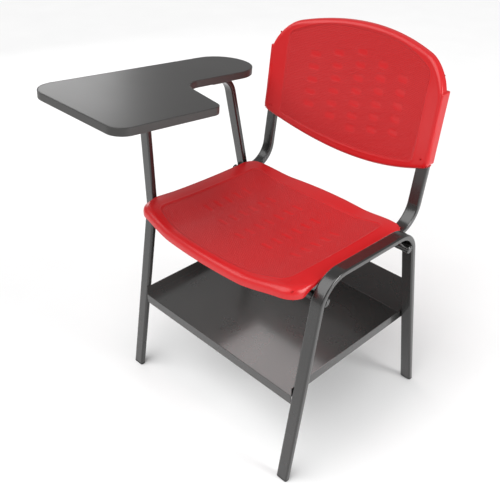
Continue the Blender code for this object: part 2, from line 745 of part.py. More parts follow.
def back_face_y(x, z):
    """The backrest's front face: hollow across, leaning back, clear of the supports."""
    support_front = support_y(BACK_BOTTOM) - TUBE_DEPTH / 2 / math.cos(BACK_LEAN)
    side = support_front + BACK_FACE_BITE - BACK_WALL
    inner = SUPPORT_X - TUBE_WIDTH / 2 - GAP
    hollow = (inner ** 2 - x ** 2) / (2 * BACK_FACE_RADIUS)
    return side + hollow + math.tan(BACK_FACE_LEAN) * (z - BACK_BOTTOM)


def support_place(sign, along):
    """Middle of a back support's leaning part, at a distance up along it."""
    z = SUPPORT_Z + along * math.cos(BACK_LEAN)
    return Vector((sign * SUPPORT_X, support_y(z), z))


def sleeve_rear_y(z):
    """Rear face of the sleeves at a height."""
    behind = (TUBE_DEPTH / 2 + GAP + SLEEVE_WALL) / math.cos(BACK_LEAN)
    return support_y(SUPPORT_TOP) + behind - math.tan(BACK_FACE_LEAN) * (SUPPORT_TOP - z)


def sleeve_outline(sign, low):
    """Section of a sleeve: its front runs inside the shell, its back is flat."""
    inner = SUPPORT_X - TUBE_WIDTH / 2 - GAP - SLEEVE_WALL
    outer = SUPPORT_X + TUBE_WIDTH / 2 + GAP + SLEEVE_WALL
    rear = (sleeve_rear_y(low) - back_face_y(0, low)) * math.cos(BACK_FACE_LEAN)
    points = []
    for step in range(SLEEVE_STEPS + 1):
        x = inner + (outer - inner) * step / SLEEVE_STEPS
        fall = (back_face_y(0, low) - back_face_y(x, low)) * math.cos(BACK_FACE_LEAN)
        points.append(Vector((sign * x, SLEEVE_BURY - fall)))
    last = points[-1]
    outer_rear = Vector((sign * outer, rear))
    inner_rear = Vector((sign * inner, rear))
    points += round_corner(last, outer_rear, inner_rear, SLEEVE_CORNER, 3)
    points += round_corner(outer_rear, inner_rear, points[0], SLEEVE_CORNER, 3)
    return points


def make_backrest(supports):
    """Shell with a moulded sleeve over each back support."""
    def roll(x, z):
        return BACK_ROLL

    def skirt(x, z):
        inner = BACK_HALF - BACK_FLANGE_WIDTH
        return BACK_FLANGE + BACK_SIDE_FLANGE * smooth_step((abs(x) - inner) / BACK_FLANGE_WIDTH)

    def place(a, b, c):
        return Vector((a, -c, b))

    def surface(x, z):
        return -back_face_y(x, z)

    centre = Vector((0, (BACK_BOTTOM + BACK_SIDE_TOP) / 2))
    work = moulded_shell(back_outline(), centre, surface, roll, skirt, place)
    if sum(face.normal.y for face in work.faces) > 0:
        bmesh.ops.reverse_faces(work, faces=work.faces)
    backrest = add_piece("backrest_shell", mesh_from(work, "backrest"), RED_PLASTIC)
    give_thickness(backrest, BACK_WALL)
    low = BACK_BOTTOM + SLEEVE_RISE
    down_pocket = (low - SUPPORT_Z) / math.cos(BACK_LEAN)
    plug_top = (SUPPORT_TOP - SUPPORT_Z) / math.cos(BACK_LEAN) + PLUG_HEAD + GAP
    pocket_top = plug_top + SLEEVE_TOP_GAP - down_pocket
    half_width = TUBE_WIDTH / 2 + GAP
    half_depth = TUBE_DEPTH / 2 + GAP
    for side, sign, support in supports:
        block = add_cutter(f"sleeve_{side}", flat_curve("sleeve", [sleeve_outline(sign, low)],
                                                        pocket_top + SLEEVE_WALL))
        block.location = (0, back_face_y(0, low), low)
        block.rotation_euler = (-BACK_FACE_LEAN, 0, 0)
        cut(backrest, block, "UNION")
        pocket_box = box_mesh((-half_width, -half_depth, -POCKET_BELOW), (half_width, half_depth, pocket_top))
        pocket = add_cutter(f"pocket_{side}", pocket_box)
        pocket.location = support_place(sign, down_pocket)
        pocket.rotation_euler = (-BACK_LEAN, 0, 0)
        cut(backrest, pocket)
    return backrest


# ---- book tray -------------------------------------------------------------
def make_tray():
    """Folded sheet: floor, two side rims, a tall back along the rear legs and a front lip."""
    half = FRAME_INNER_X - GAP
    under = TRAY_HEIGHT - TRAY_SHEET
    leg_face = TUBE_DEPTH / 2 / math.cos(LEG_LEAN)
    front = FRONT_FOOT_Y + LEAN * TRAY_HEIGHT - leg_face + TRAY_SHEET
    rear = REAR_FOOT_Y - LEAN * TRAY_HEIGHT + leg_face
    work = bmesh.new()
    bmesh.ops.create_grid(work, x_segments=1, y_segments=1, size=0.5)
    bmesh.ops.scale(work, vec=(2 * half, rear - front, 1), verts=work.verts)
    bmesh.ops.translate(work, vec=(0, (front + rear) / 2, under), verts=work.verts)

    def on_front(edge):
        return all(vert.co.y < front + TRAY_SHEET for vert in edge.verts)

    def on_rear(edge):
        return all(vert.co.y > rear - LEAN * TRAY_BACK - TRAY_SHEET for vert in edge.verts)

    def raise_edges(edges, height):
        grown = bmesh.ops.extrude_edge_only(work, edges=edges)["geom"]
        for item in grown:
            if isinstance(item, bmesh.types.BMVert):
                lean = LEAN if item.co.y > (front + rear) / 2 else 0.0
                item.co += Vector((0, -lean * height, height))
        return [item for item in grown if isinstance(item, bmesh.types.BMEdge)]

    front_edge = [edge for edge in work.edges if on_front(edge)]
    wall_tops = raise_edges([edge for edge in work.edges if not on_front(edge)], TRAY_RIM)
    back_top = [edge for edge in wall_tops
                if on_rear(edge) and abs(edge.verts[0].co.x - edge.verts[1].co.x) > half
                and edge.verts[0].co.z > under + TRAY_RIM / 2]
    raise_edges(back_top, TRAY_BACK - TRAY_RIM)
    lip = bmesh.ops.extrude_edge_only(work, edges=front_edge)["geom"]
    lip_verts = [item for item in lip if isinstance(item, bmesh.types.BMVert)]
    bmesh.ops.translate(work, vec=(0, 0, -TRAY_LIP), verts=lip_verts)
    bmesh.ops.recalc_face_normals(work, faces=work.faces)
    folds = [edge for edge in work.edges if len(edge.link_faces) == 2 and edge.calc_face_angle() > 0.5]
    bmesh.ops.bevel(work, geom=folds, offset=TRAY_FOLD, segments=2, profile=0.5, affect="EDGES")
    if max(work.faces, key=lambda face: face.calc_area()).normal.z < 0:
        bmesh.ops.reverse_faces(work, faces=work.faces)
    tray = add_piece("book_tray", mesh_from(work, "tray"), TRAY_STEEL)
    give_thickness(tray, TRAY_SHEET, offset=1.0)


# ---- writing tablet --------------------------------------------------------
def tablet_outline():
    corners = [Vector((TABLET_OUTER_X, TABLET_FRONT_Y)), Vector((TABLET_INNER_X, TABLET_FRONT_Y)),
               Vector((TABLET_INNER_X, TABLET_LOBE_Y)), Vector((TABLET_ARM_X, TABLET_NOTCH_Y)),
               Vector((TABLET_ARM_X, TABLET_REAR_Y)), Vector((TABLET_OUTER_X, TABLET_REAR_Y))]
    arm_end = abs(TABLET_ARM_X - TABLET_OUTER_X) / 2 - TABLET_ARM_FLAT / 2
    radii = [TABLET_OUTER_CORNER, TABLET_INNER_CORNER, TABLET_LOBE_CORNER, TABLET_NOTCH_CORNER,
             arm_end, arm_end]
    flat = [Vector((point.x, (point.y - TABLET_LEVEL_Y) / math.cos(TABLET_TILT))) for point in corners]
    return rounded_outline(flat, radii, spacing=1.0)


def on_tablet(x, y, depth):
    """Point at a depth below the tablet's top, measured square to it."""
    down = Vector((0, -math.sin(TABLET_TILT), -math.cos(TABLET_TILT)))
    return Vector((x, y, tablet_top(y))) + down * depth


def lay_on_tablet(piece, y, depth):
    piece.location = on_tablet(piece.location.x, y, depth)
    piece.rotation_euler = (-TABLET_TILT, 0, 0)


def make_tablet():
    """Board with an edge band, held by two welded plates and four screws."""
    outline = tablet_outline()
    board_edge = moved_outline(outline, -EDGE_BAND - GAP)
    board = add_piece("tablet_board", flat_curve("board", [board_edge], TABLET_THICKNESS), LAMINATE)
    lay_on_tablet(board, TABLET_LEVEL_Y, TABLET_THICKNESS)
    ring = [outline, moved_outline(outline, -EDGE_BAND)]
    band = add_piece("tablet_edge_band", flat_curve("band", ring, TABLET_THICKNESS), BAND_PLASTIC)
    lay_on_tablet(band, TABLET_LEVEL_Y, TABLET_THICKNESS)
    up = Vector((0, math.sin(TABLET_TILT), math.cos(TABLET_TILT)))
    plate_depth = TABLET_THICKNESS + GAP + PLATE_THICKNESS
    for end, y in (("front", UPRIGHT_Y), ("rear", REAR_PLATE_Y)):
        low = (-PLATE_LENGTH, -PLATE_WIDTH / 2, 0.0)
        high = (0.0, PLATE_WIDTH / 2, PLATE_THICKNESS)
        plate = add_piece(f"tablet_plate_{end}", box_mesh(low, high), STEEL)
        plate.location.x = PLATE_INSET - FRAME_INNER_X
        lay_on_tablet(plate, y, plate_depth)
        bevel = plate.modifiers.new("Edges", "BEVEL")
        bevel.width = PLATE_EDGE
        bevel.segments = 1
        for number, offset in enumerate((-PLATE_WIDTH / 4, PLATE_WIDTH / 4), start=1):
            screw_x = (PLATE_INSET - FRAME_INNER_X - PLATE_LENGTH - HALF_FRAME) / 2
            spot = on_tablet(screw_x, y + offset, plate_depth)
            length = PLATE_THICKNESS + GAP + TABLET_SCREW_BITE
            turned_screw(f"tablet_screw_{end}_{number}", length, spot - up * GAP, up)
            drill(f"tablet_hole_{end}_{number}", SCREW_RADIUS + GAP, spot, up, length + GAP, plate, board)


# ---- screws of the seat and backrest ---------------------------------------
def make_seat_screws(seat, supports):
    up = Vector((0, 0, 1))
    for side, sign, support in supports:
        for end, y in (("front", FRONT_BAR_Y + FRONT_SCREW_INSET), ("rear", REAR_BAR_Y - REAR_SCREW_INSET)):
            spot = Vector((sign * SUPPORT_X, y, SUPPORT_Z - TUBE_DEPTH / 2))
            length = seat_surface(SUPPORT_X, y) - SCREW_COVER - spot.z
            turned_screw(f"seat_screw_{end}_{side}", length, spot - up * GAP, up)
            drill(f"seat_hole_{end}_{side}", SCREW_RADIUS + GAP, spot, up, length + GAP, support, seat)


def make_back_screws(backrest, supports):
    middle = (BACK_BOTTOM + SUPPORT_TOP) / 2
    into = Vector((0, -math.cos(BACK_FACE_LEAN), math.sin(BACK_FACE_LEAN)))
    to_tube = (sleeve_rear_y(middle) - support_y(middle)) * math.cos(BACK_FACE_LEAN)
    for side, sign, support in supports:
        spot = Vector((sign * SUPPORT_X, sleeve_rear_y(middle), middle))
        length = to_tube + TUBE_DEPTH / 2 - TUBE_WALL - 2 * GAP
        turned_screw(f"back_screw_{side}", length, spot - into * GAP, into)
        drill(f"back_hole_{side}", SCREW_RADIUS + GAP, spot, into, length + GAP, support, backrest)


def stand_on_origin():
    """Move the chair so that the origin is under the middle of its box, on the floor."""
    graph = bpy.context.evaluated_depsgraph_get()
    low = Vector((math.inf,) * 3)
    high = Vector((-math.inf,) * 3)
    for piece in CHAIR.objects:
        if piece.type != "MESH":
            continue
        solid = piece.evaluated_get(graph)
        for vert in solid.data.vertices:
            place = solid.matrix_world @ vert.co
            low = Vector(map(min, low, place))
            high = Vector(map(max, high, place))
    ROOT.location = (-(low.x + high.x) / 2, -(low.y + high.y) / 2, -low.z)


make_cross_bars(make_side_frames())
back_supports = make_back_supports()
seat_shell = make_seat()
backrest_shell = make_backrest(back_supports)
make_tray()
make_tablet()
make_seat_screws(seat_shell, back_supports)
make_back_screws(backrest_shell, back_supports)
stand_on_origin()
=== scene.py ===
# %% [markdown]
# # A student desk chair, piece by piece
# The chair is a red moulded seat and backrest on a frame of bent oval-cornered steel tube, with a
# sheet steel book tray between the legs and a small writing tablet on the sitter's right. The solid
# model of it, already measured, is loaded first as a fixed frame. Each lesson below then
# makes one visible piece over its solid, or gives a solid that is already right its real finish.

# %% Load the solid model and remember its size
import math

import bpy
import numpy as np
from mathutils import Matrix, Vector


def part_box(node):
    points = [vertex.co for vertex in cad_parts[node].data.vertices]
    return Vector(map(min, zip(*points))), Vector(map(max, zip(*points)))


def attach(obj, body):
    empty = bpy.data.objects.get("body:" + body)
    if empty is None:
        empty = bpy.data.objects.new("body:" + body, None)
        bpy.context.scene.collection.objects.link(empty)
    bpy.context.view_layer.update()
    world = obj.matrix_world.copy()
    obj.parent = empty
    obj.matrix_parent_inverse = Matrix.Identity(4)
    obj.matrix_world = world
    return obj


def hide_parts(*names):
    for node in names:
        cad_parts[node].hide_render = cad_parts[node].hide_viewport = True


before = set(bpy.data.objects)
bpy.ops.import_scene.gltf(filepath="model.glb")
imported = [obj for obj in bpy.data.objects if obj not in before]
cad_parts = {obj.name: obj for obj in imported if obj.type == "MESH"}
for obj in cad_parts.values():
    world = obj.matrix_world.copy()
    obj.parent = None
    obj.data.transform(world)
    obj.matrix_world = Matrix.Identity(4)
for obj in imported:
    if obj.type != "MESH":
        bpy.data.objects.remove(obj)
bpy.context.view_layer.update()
print("solids:", len(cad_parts))

# %% [markdown]
# The chair is drawn around its own middle plane, where left and right mirror each other. That is
# easier to think in than the corner of a box, so the middle of the front cross bar is measured on
# the solids, and every new piece is drawn around the middle plane and moved to its place at the end.

# %% The middle plane, and the main sizes in metres
GAP = 0.0003                       # left between neighbours that touch
TUBE_WIDTH = 0.0280
TUBE_DEPTH = 0.0130
TUBE_CORNER = 0.0040
TUBE_WALL = 0.0015
LEG_LEAN = math.radians(10.5)      # front legs lean back, rear legs lean forward
LEAN = math.tan(LEG_LEAN)
FRONT_FOOT_Y = -0.4525
REAR_FOOT_Y = -0.0104
FOOT_HEIGHT = 0.0040
BAR_RADIUS = 0.0090

bar_low, bar_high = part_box("cross_bar_front")
bar_middle = (bar_low + bar_high) / 2
BAR_HEIGHT = bar_middle.z
BAR_SETBACK = 0.0090               # the front bar's middle behind the middle of its leg
FRONT_BAR_Y = FRONT_FOOT_Y + LEAN * BAR_HEIGHT + BAR_SETBACK
TO_FRAME = Vector((bar_middle.x, bar_middle.y - FRONT_BAR_Y, 0.0))
plain_low, plain_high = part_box("side_frame_plain")
FRAME_X = (plain_low.x + plain_high.x) / 2 - TO_FRAME.x
print("middle plane at", [round(v, 4) for v in TO_FRAME], "side frames at", round(FRAME_X, 4))

# %% [markdown]
# ## The camera, the floor and the light
# The chair stands on a plain pale floor and is seen from its front left side, from a little above
# head height. The light is that of a small studio: an even lit ceiling, a soft panel on each side, a
# small one under the seat, and a bright room around them, so that the shadows stay soft and the dark
# steel has something to mirror.

# %% Camera
CAMERA_PLACE = Vector((0.9008, -1.1756, 1.1980))
CAMERA_TURN = math.radians(46.021)
CAMERA_FALL = math.radians(32.895)
LENS = 50
SENSOR = 36

camera_data = bpy.data.cameras.new("studio_camera")
camera_data.lens = LENS
camera_data.sensor_width = SENSOR
camera = bpy.data.objects.new("studio_camera", camera_data)
bpy.context.scene.collection.objects.link(camera)
sight = Vector((-math.sin(CAMERA_TURN) * math.cos(CAMERA_FALL),
                math.cos(CAMERA_TURN) * math.cos(CAMERA_FALL), -math.sin(CAMERA_FALL)))
camera.location = CAMERA_PLACE + TO_FRAME
camera.rotation_euler = sight.to_track_quat("-Z", "Y").to_euler()
bpy.context.scene.camera = camera
print("camera at", [round(v, 3) for v in camera.location])

# %% [markdown]
# A material is a small network of nodes. One helper adds any node, sets its settings and joins its
# inputs, so that each finish below reads as a list. Colours are written as on a paint card, in hex,
# and one function turns them into the linear numbers that the renderer counts in.

# %% Helpers for materials
MIX_A, MIX_B, MIX_RESULT = 6, 7, 2     # the colour sockets of a mix node, counted from its top


def paint(card):
    """Linear colour of a hex colour such as C03030."""
    parts = [int(card[place:place + 2], 16) / 255 for place in (0, 2, 4)]
    linear = [part / 12.92 if part <= 0.04045 else ((part + 0.055) / 1.055) ** 2.4
              for part in parts]
    return (*linear, 1.0)


def add_node(tree, kind, inputs=None, **settings):
    """Adds a node; an input is given a value, or the output that it is joined to."""
    node = tree.nodes.new(kind)
    for name, value in settings.items():
        setattr(node, name, value)
    for name, value in (inputs or {}).items():
        if isinstance(value, bpy.types.NodeSocket):
            tree.links.new(value, node.inputs[name])
        else:
            node.inputs[name].default_value = value
    return node


def new_finish(name):
    """An empty material and its tree."""
    finish = bpy.data.materials.new(name)
    finish.use_nodes = True
    finish.node_tree.nodes.clear()
    return finish, finish.node_tree


def close_finish(finish, tree, shader):
    add_node(tree, "ShaderNodeOutputMaterial", {"Surface": shader.outputs[0]})
    print("finish:", finish.name, "with", len(tree.nodes), "nodes")
    return finish


# %% [markdown]
# The floor is white paint, rolled on: quite dull, and never one flat white. It lies just below the
# feet, so that the two surfaces don't share a plane. The panels are square lamps of the width that a
# real one has, because a lamp's size is what makes its shadow soft.

# %% Floor and lights
FLOOR_WIDE = 14
FLOOR_DROP = 0.0005

floor_finish, tree = new_finish("floor_white_paint_rolled")
grain = add_node(tree, "ShaderNodeTexNoise", {"Scale": 60.0, "Detail": 3.0})
shade = add_node(tree, "ShaderNodeMapRange", {"Value": grain.outputs["Fac"], "To Min": 0.86,
                 "To Max": 0.9})
shader = add_node(tree, "ShaderNodeBsdfPrincipled", {"Base Color": shade.outputs[0],
                  "Roughness": 0.9, "Specular IOR Level": 0.0})
close_finish(floor_finish, tree, shader)

bpy.ops.object.select_all(action="DESELECT")
bpy.ops.mesh.primitive_plane_add(size=FLOOR_WIDE, location=(0, 0, -FLOOR_DROP))
floor = bpy.context.object
floor.name = "studio_floor"
floor.data.materials.append(floor_finish)

world = bpy.data.worlds.new("studio_room")
world.use_nodes = True
world.node_tree.nodes["Background"].inputs["Color"].default_value = paint("FFFFFF")
world.node_tree.nodes["Background"].inputs["Strength"].default_value = 0.40
bpy.context.scene.world = world


def soft_panel(name, place, aim, wide, high, power):
    """A square studio panel that shines from a place towards a point."""
    data = bpy.data.lights.new(name, "AREA")
    data.shape = "RECTANGLE"
    data.size = wide
    data.size_y = high
    data.energy = power
    panel = bpy.data.objects.new(name, data)
    bpy.context.scene.collection.objects.link(panel)
    panel.location = Vector(place) + TO_FRAME
    panel.rotation_euler = (Vector(aim) - Vector(place)).to_track_quat("-Z", "Y").to_euler()
    return panel


def soft_ceiling(name, place, wide, strength):
    """An even, very wide lamp a long way off, as a lit studio ceiling is."""
    data = bpy.data.lights.new(name, "SUN")
    data.angle = math.radians(wide)
    data.energy = strength
    ceiling = bpy.data.objects.new(name, data)
    bpy.context.scene.collection.objects.link(ceiling)
    ceiling.rotation_euler = (-Vector(place)).to_track_quat("-Z", "Y").to_euler()


soft_ceiling("ceiling_front", (-0.15, -0.75, 1.0), 70, 2.6)
soft_panel("panel_left", (-2.6, 0.55, 1.25), (0, -0.25, 0.6), 1.2, 1.0, 9)
soft_panel("panel_right", (2.4, 0.3, 1.2), (0, -0.15, 0.5), 0.8, 1.6, 34)
soft_panel("panel_under_seat", (0.02, -0.27, 0.415), (0.02, -0.27, 0.2), 0.36, 0.30, 0.9)
bpy.context.scene.view_settings.view_transform = "Standard"

# %% [markdown]
# ## The steel: oval-cornered tube, bent cold and powder coated
# Every frame member is the same tube, 28 mm wide and 13 mm deep with 4 mm corners. On the real
# object it is cut, bent on a former and welded. It could be drawn as a curve with a bevel, but a
# flat plate drawn at the foot, its corners rounded, pulled along the straights and spun round each
# bend is how the bender itself works, and it keeps the section true in every bend. The plate is then
# taken away at both ends, the skin is given its wall, and the foot is cut level.

# %% Helpers for modelling as by hand
def deselect_all():
    if bpy.context.object and bpy.context.object.mode != "OBJECT":
        bpy.ops.object.mode_set(mode="OBJECT")
    bpy.ops.object.select_all(action="DESELECT")


def only(piece):
    deselect_all()
    piece.select_set(True)
    bpy.context.view_layer.objects.active = piece


def apply_place(piece):
    only(piece)
    bpy.ops.object.transform_apply(location=True, rotation=True, scale=True)


def pick(piece, wanted, mode="FACE"):
    """In edit mode, selects the faces, edges or vertices for which wanted(item) holds."""
    bpy.ops.mesh.select_mode(type=mode)
    bpy.ops.mesh.select_all(action="DESELECT")
    bpy.ops.object.mode_set(mode="OBJECT")
    items = {"FACE": piece.data.polygons, "EDGE": piece.data.edges,
             "VERT": piece.data.vertices}[mode]
    found = 0
    for item in items:
        item.select = bool(wanted(item))
        found += item.select
    bpy.ops.object.mode_set(mode="EDIT")
    return found


def pull(direction):
    bpy.ops.mesh.extrude_region_move(TRANSFORM_OT_translate={"value": tuple(direction)})


def add_modifier(piece, kind, **settings):
    """Adds one modifier and applies it at once."""
    only(piece)
    modifier = piece.modifiers.new(kind.title(), kind)
    for name, value in settings.items():
        setattr(modifier, name, value)
    bpy.ops.object.modifier_apply(modifier=modifier.name)


def smooth(piece, degrees=35):
    only(piece)
    bpy.ops.object.shade_smooth_by_angle(angle=math.radians(degrees))
    add_modifier(piece, "WEIGHTED_NORMAL", keep_sharp=True, weight=50)


def hand_in(piece, finish, slot, *solids):
    """Moves a piece from the middle plane to its place, and lets it stand for its solids."""
    only(piece)
    bpy.ops.transform.translate(value=TO_FRAME)
    apply_place(piece)
    piece.data.materials.clear()
    piece.data.materials.append(finish)
    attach(piece, "root")
    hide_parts(*solids)
    triangles = sum(len(face.vertices) - 2 for face in piece.data.polygons)
    print(piece.name, "triangles:", triangles,
          "size mm:", [round(v * 1000, 1) for v in piece.dimensions])


# %% [markdown]
# ## Black powder coat
# Polyester powder is sprayed on charged steel and baked until it flows. It levels into a glossy skin
# with a faint orange peel, a millimetre or two from crest to crest, which breaks the long highlights
# on the bends. It is a touch duller where hands and shoes rub it.

# %% Powder coat for the tubes, and for the tray
RUBBED_LIGHTER = 1.18              # the coat where it is rubbed, against the rest of it


def powder_coat(name, colour, gloss, peel_mm, peel_height):
    finish, tree = new_finish(name)
    place = add_node(tree, "ShaderNodeTexCoord").outputs["Object"]
    peel = add_node(tree, "ShaderNodeTexNoise", {"Vector": place, "Scale": 1000 / peel_mm,
                    "Detail": 2.0, "Roughness": 0.45})
    rubbed = add_node(tree, "ShaderNodeTexNoise", {"Vector": place, "Scale": 9.0, "Detail": 5.0})
    rough = add_node(tree, "ShaderNodeMapRange", {"Value": rubbed.outputs["Fac"], "From Min": 0.3,
                     "From Max": 0.7, "To Min": gloss - 0.03, "To Max": gloss + 0.05})
    lighter = [part * RUBBED_LIGHTER for part in paint(colour)[:3]] + [1.0]
    tone = add_node(tree, "ShaderNodeMix", {"Factor": rubbed.outputs["Fac"], MIX_A: paint(colour),
                    MIX_B: lighter}, data_type="RGBA")
    bump = add_node(tree, "ShaderNodeBump", {"Height": peel.outputs["Fac"], "Strength": 0.2,
                    "Distance": peel_height / 1000})
    shader = add_node(tree, "ShaderNodeBsdfPrincipled", {"Base Color": tone.outputs[MIX_RESULT],
                      "Roughness": rough.outputs[0], "IOR": 1.5, "Normal": bump.outputs[0],
                      "Coat Weight": 0.7, "Coat Roughness": 0.14})
    return close_finish(finish, tree, shader)


FRAME_COAT = powder_coat("steel_tube_black_powder_coat_baked", "1A1918", 0.25, 1.8, 0.03)
TRAY_COAT = powder_coat("steel_sheet_black_powder_coat_baked", "201F1E", 0.28, 2.2, 0.02)

# %% [markdown]
# The real tube is fed through a bender, straight by straight, and the helper below does the same. It
# is told where the corners would be if the bends were sharp, and how wide each bend is. The ends are
# drawn too long and cut off afterwards, as they are with a saw.

# %% A tube, laid along its corners
BEND_TURN = math.radians(5)        # one ring of faces for each 5 degrees of bend


def lay_tube(name, x, corners, bends):
    """Tube in the plane x, through corners (y, z), with a bend radius at each inner corner."""
    points = [Vector((x, y, z)) for y, z in corners]
    way = (points[1] - points[0]).normalized()
    climb = math.atan2(way.z, way.y)
    deselect_all()
    bpy.ops.mesh.primitive_plane_add(size=1, location=points[0],
                                     rotation=(climb - math.pi / 2, 0, 0))
    tube = bpy.context.object
    tube.name = name
    tube.scale = (TUBE_WIDTH, TUBE_DEPTH, 1)
    apply_place(tube)
    bpy.ops.object.mode_set(mode="EDIT")
    bpy.ops.mesh.select_all(action="SELECT")
    bpy.ops.mesh.bevel(offset=TUBE_CORNER, segments=5, affect="VERTICES")
    bpy.ops.mesh.select_mode(type="FACE")
    bpy.ops.mesh.select_all(action="SELECT")
    at = points[0]
    for before, corner, after, radius in zip(points, points[1:], points[2:], bends):
        way_in, way_out = (corner - before).normalized(), (after - corner).normalized()
        turn = way_in.angle(way_out)
        reach = radius * math.tan(turn / 2)
        pull(corner - way_in * reach - at)
        inward = (way_out - way_in * way_in.dot(way_out)).normalized()
        middle = corner - way_in * reach + inward * radius
        axis = way_out.cross(way_in).normalized()      # spin turns the other way round its axis
        bpy.ops.mesh.spin(steps=math.ceil(turn / BEND_TURN), angle=turn, center=middle, axis=axis)
        at = corner + way_out * reach
    pull(points[-1] - at)
    bpy.ops.mesh.delete(type="FACE")
    pick(tube, lambda face: (face.center - points[0]).length < TUBE_DEPTH / 4)
    bpy.ops.mesh.delete(type="FACE")
    bpy.ops.mesh.select_all(action="SELECT")
    bpy.ops.mesh.remove_doubles(threshold=0.00001)
    bpy.ops.mesh.normals_make_consistent(inside=False)
    bpy.ops.object.mode_set(mode="OBJECT")
    return tube


def cut_off(tube, place, normal):
    """Cuts away what lies beyond a plane, on the side its normal points to."""
    only(tube)
    bpy.ops.object.mode_set(mode="EDIT")
    bpy.ops.mesh.select_all(action="SELECT")
    bpy.ops.mesh.bisect(plane_co=place, plane_no=normal, clear_outer=True, use_fill=False)
    bpy.ops.object.mode_set(mode="OBJECT")


def finish_tube(tube, *solids):
    add_modifier(tube, "SOLIDIFY", thickness=TUBE_WALL, offset=-1, use_even_offset=True)
    smooth(tube)
    hand_in(tube, FRAME_COAT, "powder_coated_steel", *solids)


# %% [markdown]
# ## The side frame on the open side
# One tube makes front leg, top rail and rear leg. It is the shape that the eye meets first, so its
# bends are the ones to get right: a wide one at the front, a tighter one at the back, and a rail that
# falls a little to the rear.

# %% Side frame
RAIL_RISE = 0.0434
RAIL_FALL = math.radians(1.4)
FRONT_BEND = 0.0650
REAR_BEND = 0.0500
FLOOR_CUT = (0, 0, FOOT_HEIGHT + 2 * GAP)
BELOW = TUBE_DEPTH                 # the tube is drawn on below the cut
SETTLING_STEPS = 12                # enough for the meeting point to stand still


def meet_rear_leg(height_at):
    """Where the rear leg meets a sloping line."""
    z = height_at(REAR_FOOT_Y)
    for _ in range(SETTLING_STEPS):
        z = height_at(REAR_FOOT_Y - LEAN * z)
    return REAR_FOOT_Y - LEAN * z, z


rail_front = (FRONT_FOOT_Y + LEAN * (BAR_HEIGHT + RAIL_RISE), BAR_HEIGHT + RAIL_RISE)
rail_rear = meet_rear_leg(lambda y: rail_front[1] - math.tan(RAIL_FALL) * (y - rail_front[0]))
front_end = (FRONT_FOOT_Y - LEAN * BELOW, -BELOW)
rear_end = (REAR_FOOT_Y + LEAN * BELOW, -BELOW)
plain_frame = lay_tube("side_frame_tube", FRAME_X, [front_end, rail_front, rail_rear, rear_end],
                       [FRONT_BEND, REAR_BEND])
cut_off(plain_frame, FLOOR_CUT, (0, 0, -1))
finish_tube(plain_frame, "side_frame_plain")

# %% [markdown]
# ## The posts under the writing tablet
# On the tablet side the legs go on upwards. The front one turns upright above the cross bar, the rear
# one turns forward just under the tablet. Both end on flat plates screwed to the board, so they are
# cut to the slope of the tablet.

# %% Posts
TABLET_TILT = math.radians(5.07)
TABLET_HEIGHT = 0.6943
TABLET_LEVEL_Y = -0.2650
TABLET_THICKNESS = 0.0160
PLATE_THICKNESS = 0.0030
KNEE_HEIGHT = 0.4240
KNEE_BEND = 0.1200
POST_BEND = 0.0500
POST_BEND_DEPTH = 0.0120
SLANT_ROOM = 0.0013                # the wall's slanted end stands this much above its cut
TABLET_UP = Vector((0, math.sin(TABLET_TILT), math.cos(TABLET_TILT)))


def tablet_top(y):
    return TABLET_HEIGHT - math.tan(TABLET_TILT) * (y - TABLET_LEVEL_Y)


def turn_line(y):
    """Height at which the rear post's end runs forward under the tablet."""
    return tablet_top(y) - POST_BEND_DEPTH / math.cos(TABLET_TILT)


upright_y = FRONT_FOOT_Y + LEAN * KNEE_HEIGHT
under_plate = (Vector((0, TABLET_LEVEL_Y, TABLET_HEIGHT))
               - TABLET_UP * (TABLET_THICKNESS + PLATE_THICKNESS + 2 * GAP))
front_post = lay_tube("post_front_tube", -FRAME_X,
                      [front_end, (upright_y, KNEE_HEIGHT), (upright_y, TABLET_HEIGHT + TUBE_WIDTH)],
                      [KNEE_BEND])
rear_post = lay_tube("post_rear_tube", -FRAME_X,
                     [(upright_y, turn_line(upright_y)), meet_rear_leg(turn_line), rear_end],
                     [POST_BEND])
for post, solid, back_off in ((front_post, "post_front_tablet", 0),
                              (rear_post, "post_rear_tablet", SLANT_ROOM)):
    cut_off(post, FLOOR_CUT, (0, 0, -1))
    cut_off(post, under_plate - TABLET_UP * back_off, TABLET_UP)
    finish_tube(post, solid)

# %% [markdown]
# ## The two back supports
# Each is one L of the same tube. Its flat run lies on both cross bars under the seat, and its upright
# leans back and slides into a sleeve behind the backrest.

# %% Back supports
SUPPORT_GAP = 0.0065               # back support to the side frame
SUPPORT_REACH = 0.0100             # past the front bar
SUPPORT_X = FRAME_X - TUBE_WIDTH - SUPPORT_GAP
SUPPORT_Z = BAR_HEIGHT + BAR_RADIUS + GAP + TUBE_DEPTH / 2
SUPPORT_CORNER_Y = -0.0410
SUPPORT_TOP = 0.7150
SUPPORT_BEND = 0.0600
BACK_LEAN = math.radians(9.5)


def support_y(z):
    return SUPPORT_CORNER_Y + math.tan(BACK_LEAN) * (z - SUPPORT_Z)


support_corners = [(FRONT_BAR_Y - SUPPORT_REACH, SUPPORT_Z), (SUPPORT_CORNER_Y, SUPPORT_Z),
                   (support_y(SUPPORT_TOP), SUPPORT_TOP)]
for side, sign in (("plain", 1), ("tablet", -1)):
    support = lay_tube(f"back_support_tube_{side}", sign * SUPPORT_X, support_corners,
                       [SUPPORT_BEND])
    finish_tube(support, f"back_support_{side}")

# %% [markdown]
# ## Moulded polypropylene
# Seat and backrest are injection moulded in one go, 3 to 4 mm thick, dyed all through. The mould is
# blasted, so the skin is satin and not mirror-like. The sunk panels carry a finer grip pattern: short
# dashes laid like bricks, 5 mm long in rows 3.6 mm apart, too fine to be worth drawing as faces. An
# attribute called panel, painted on the mesh below, says where that pattern is.

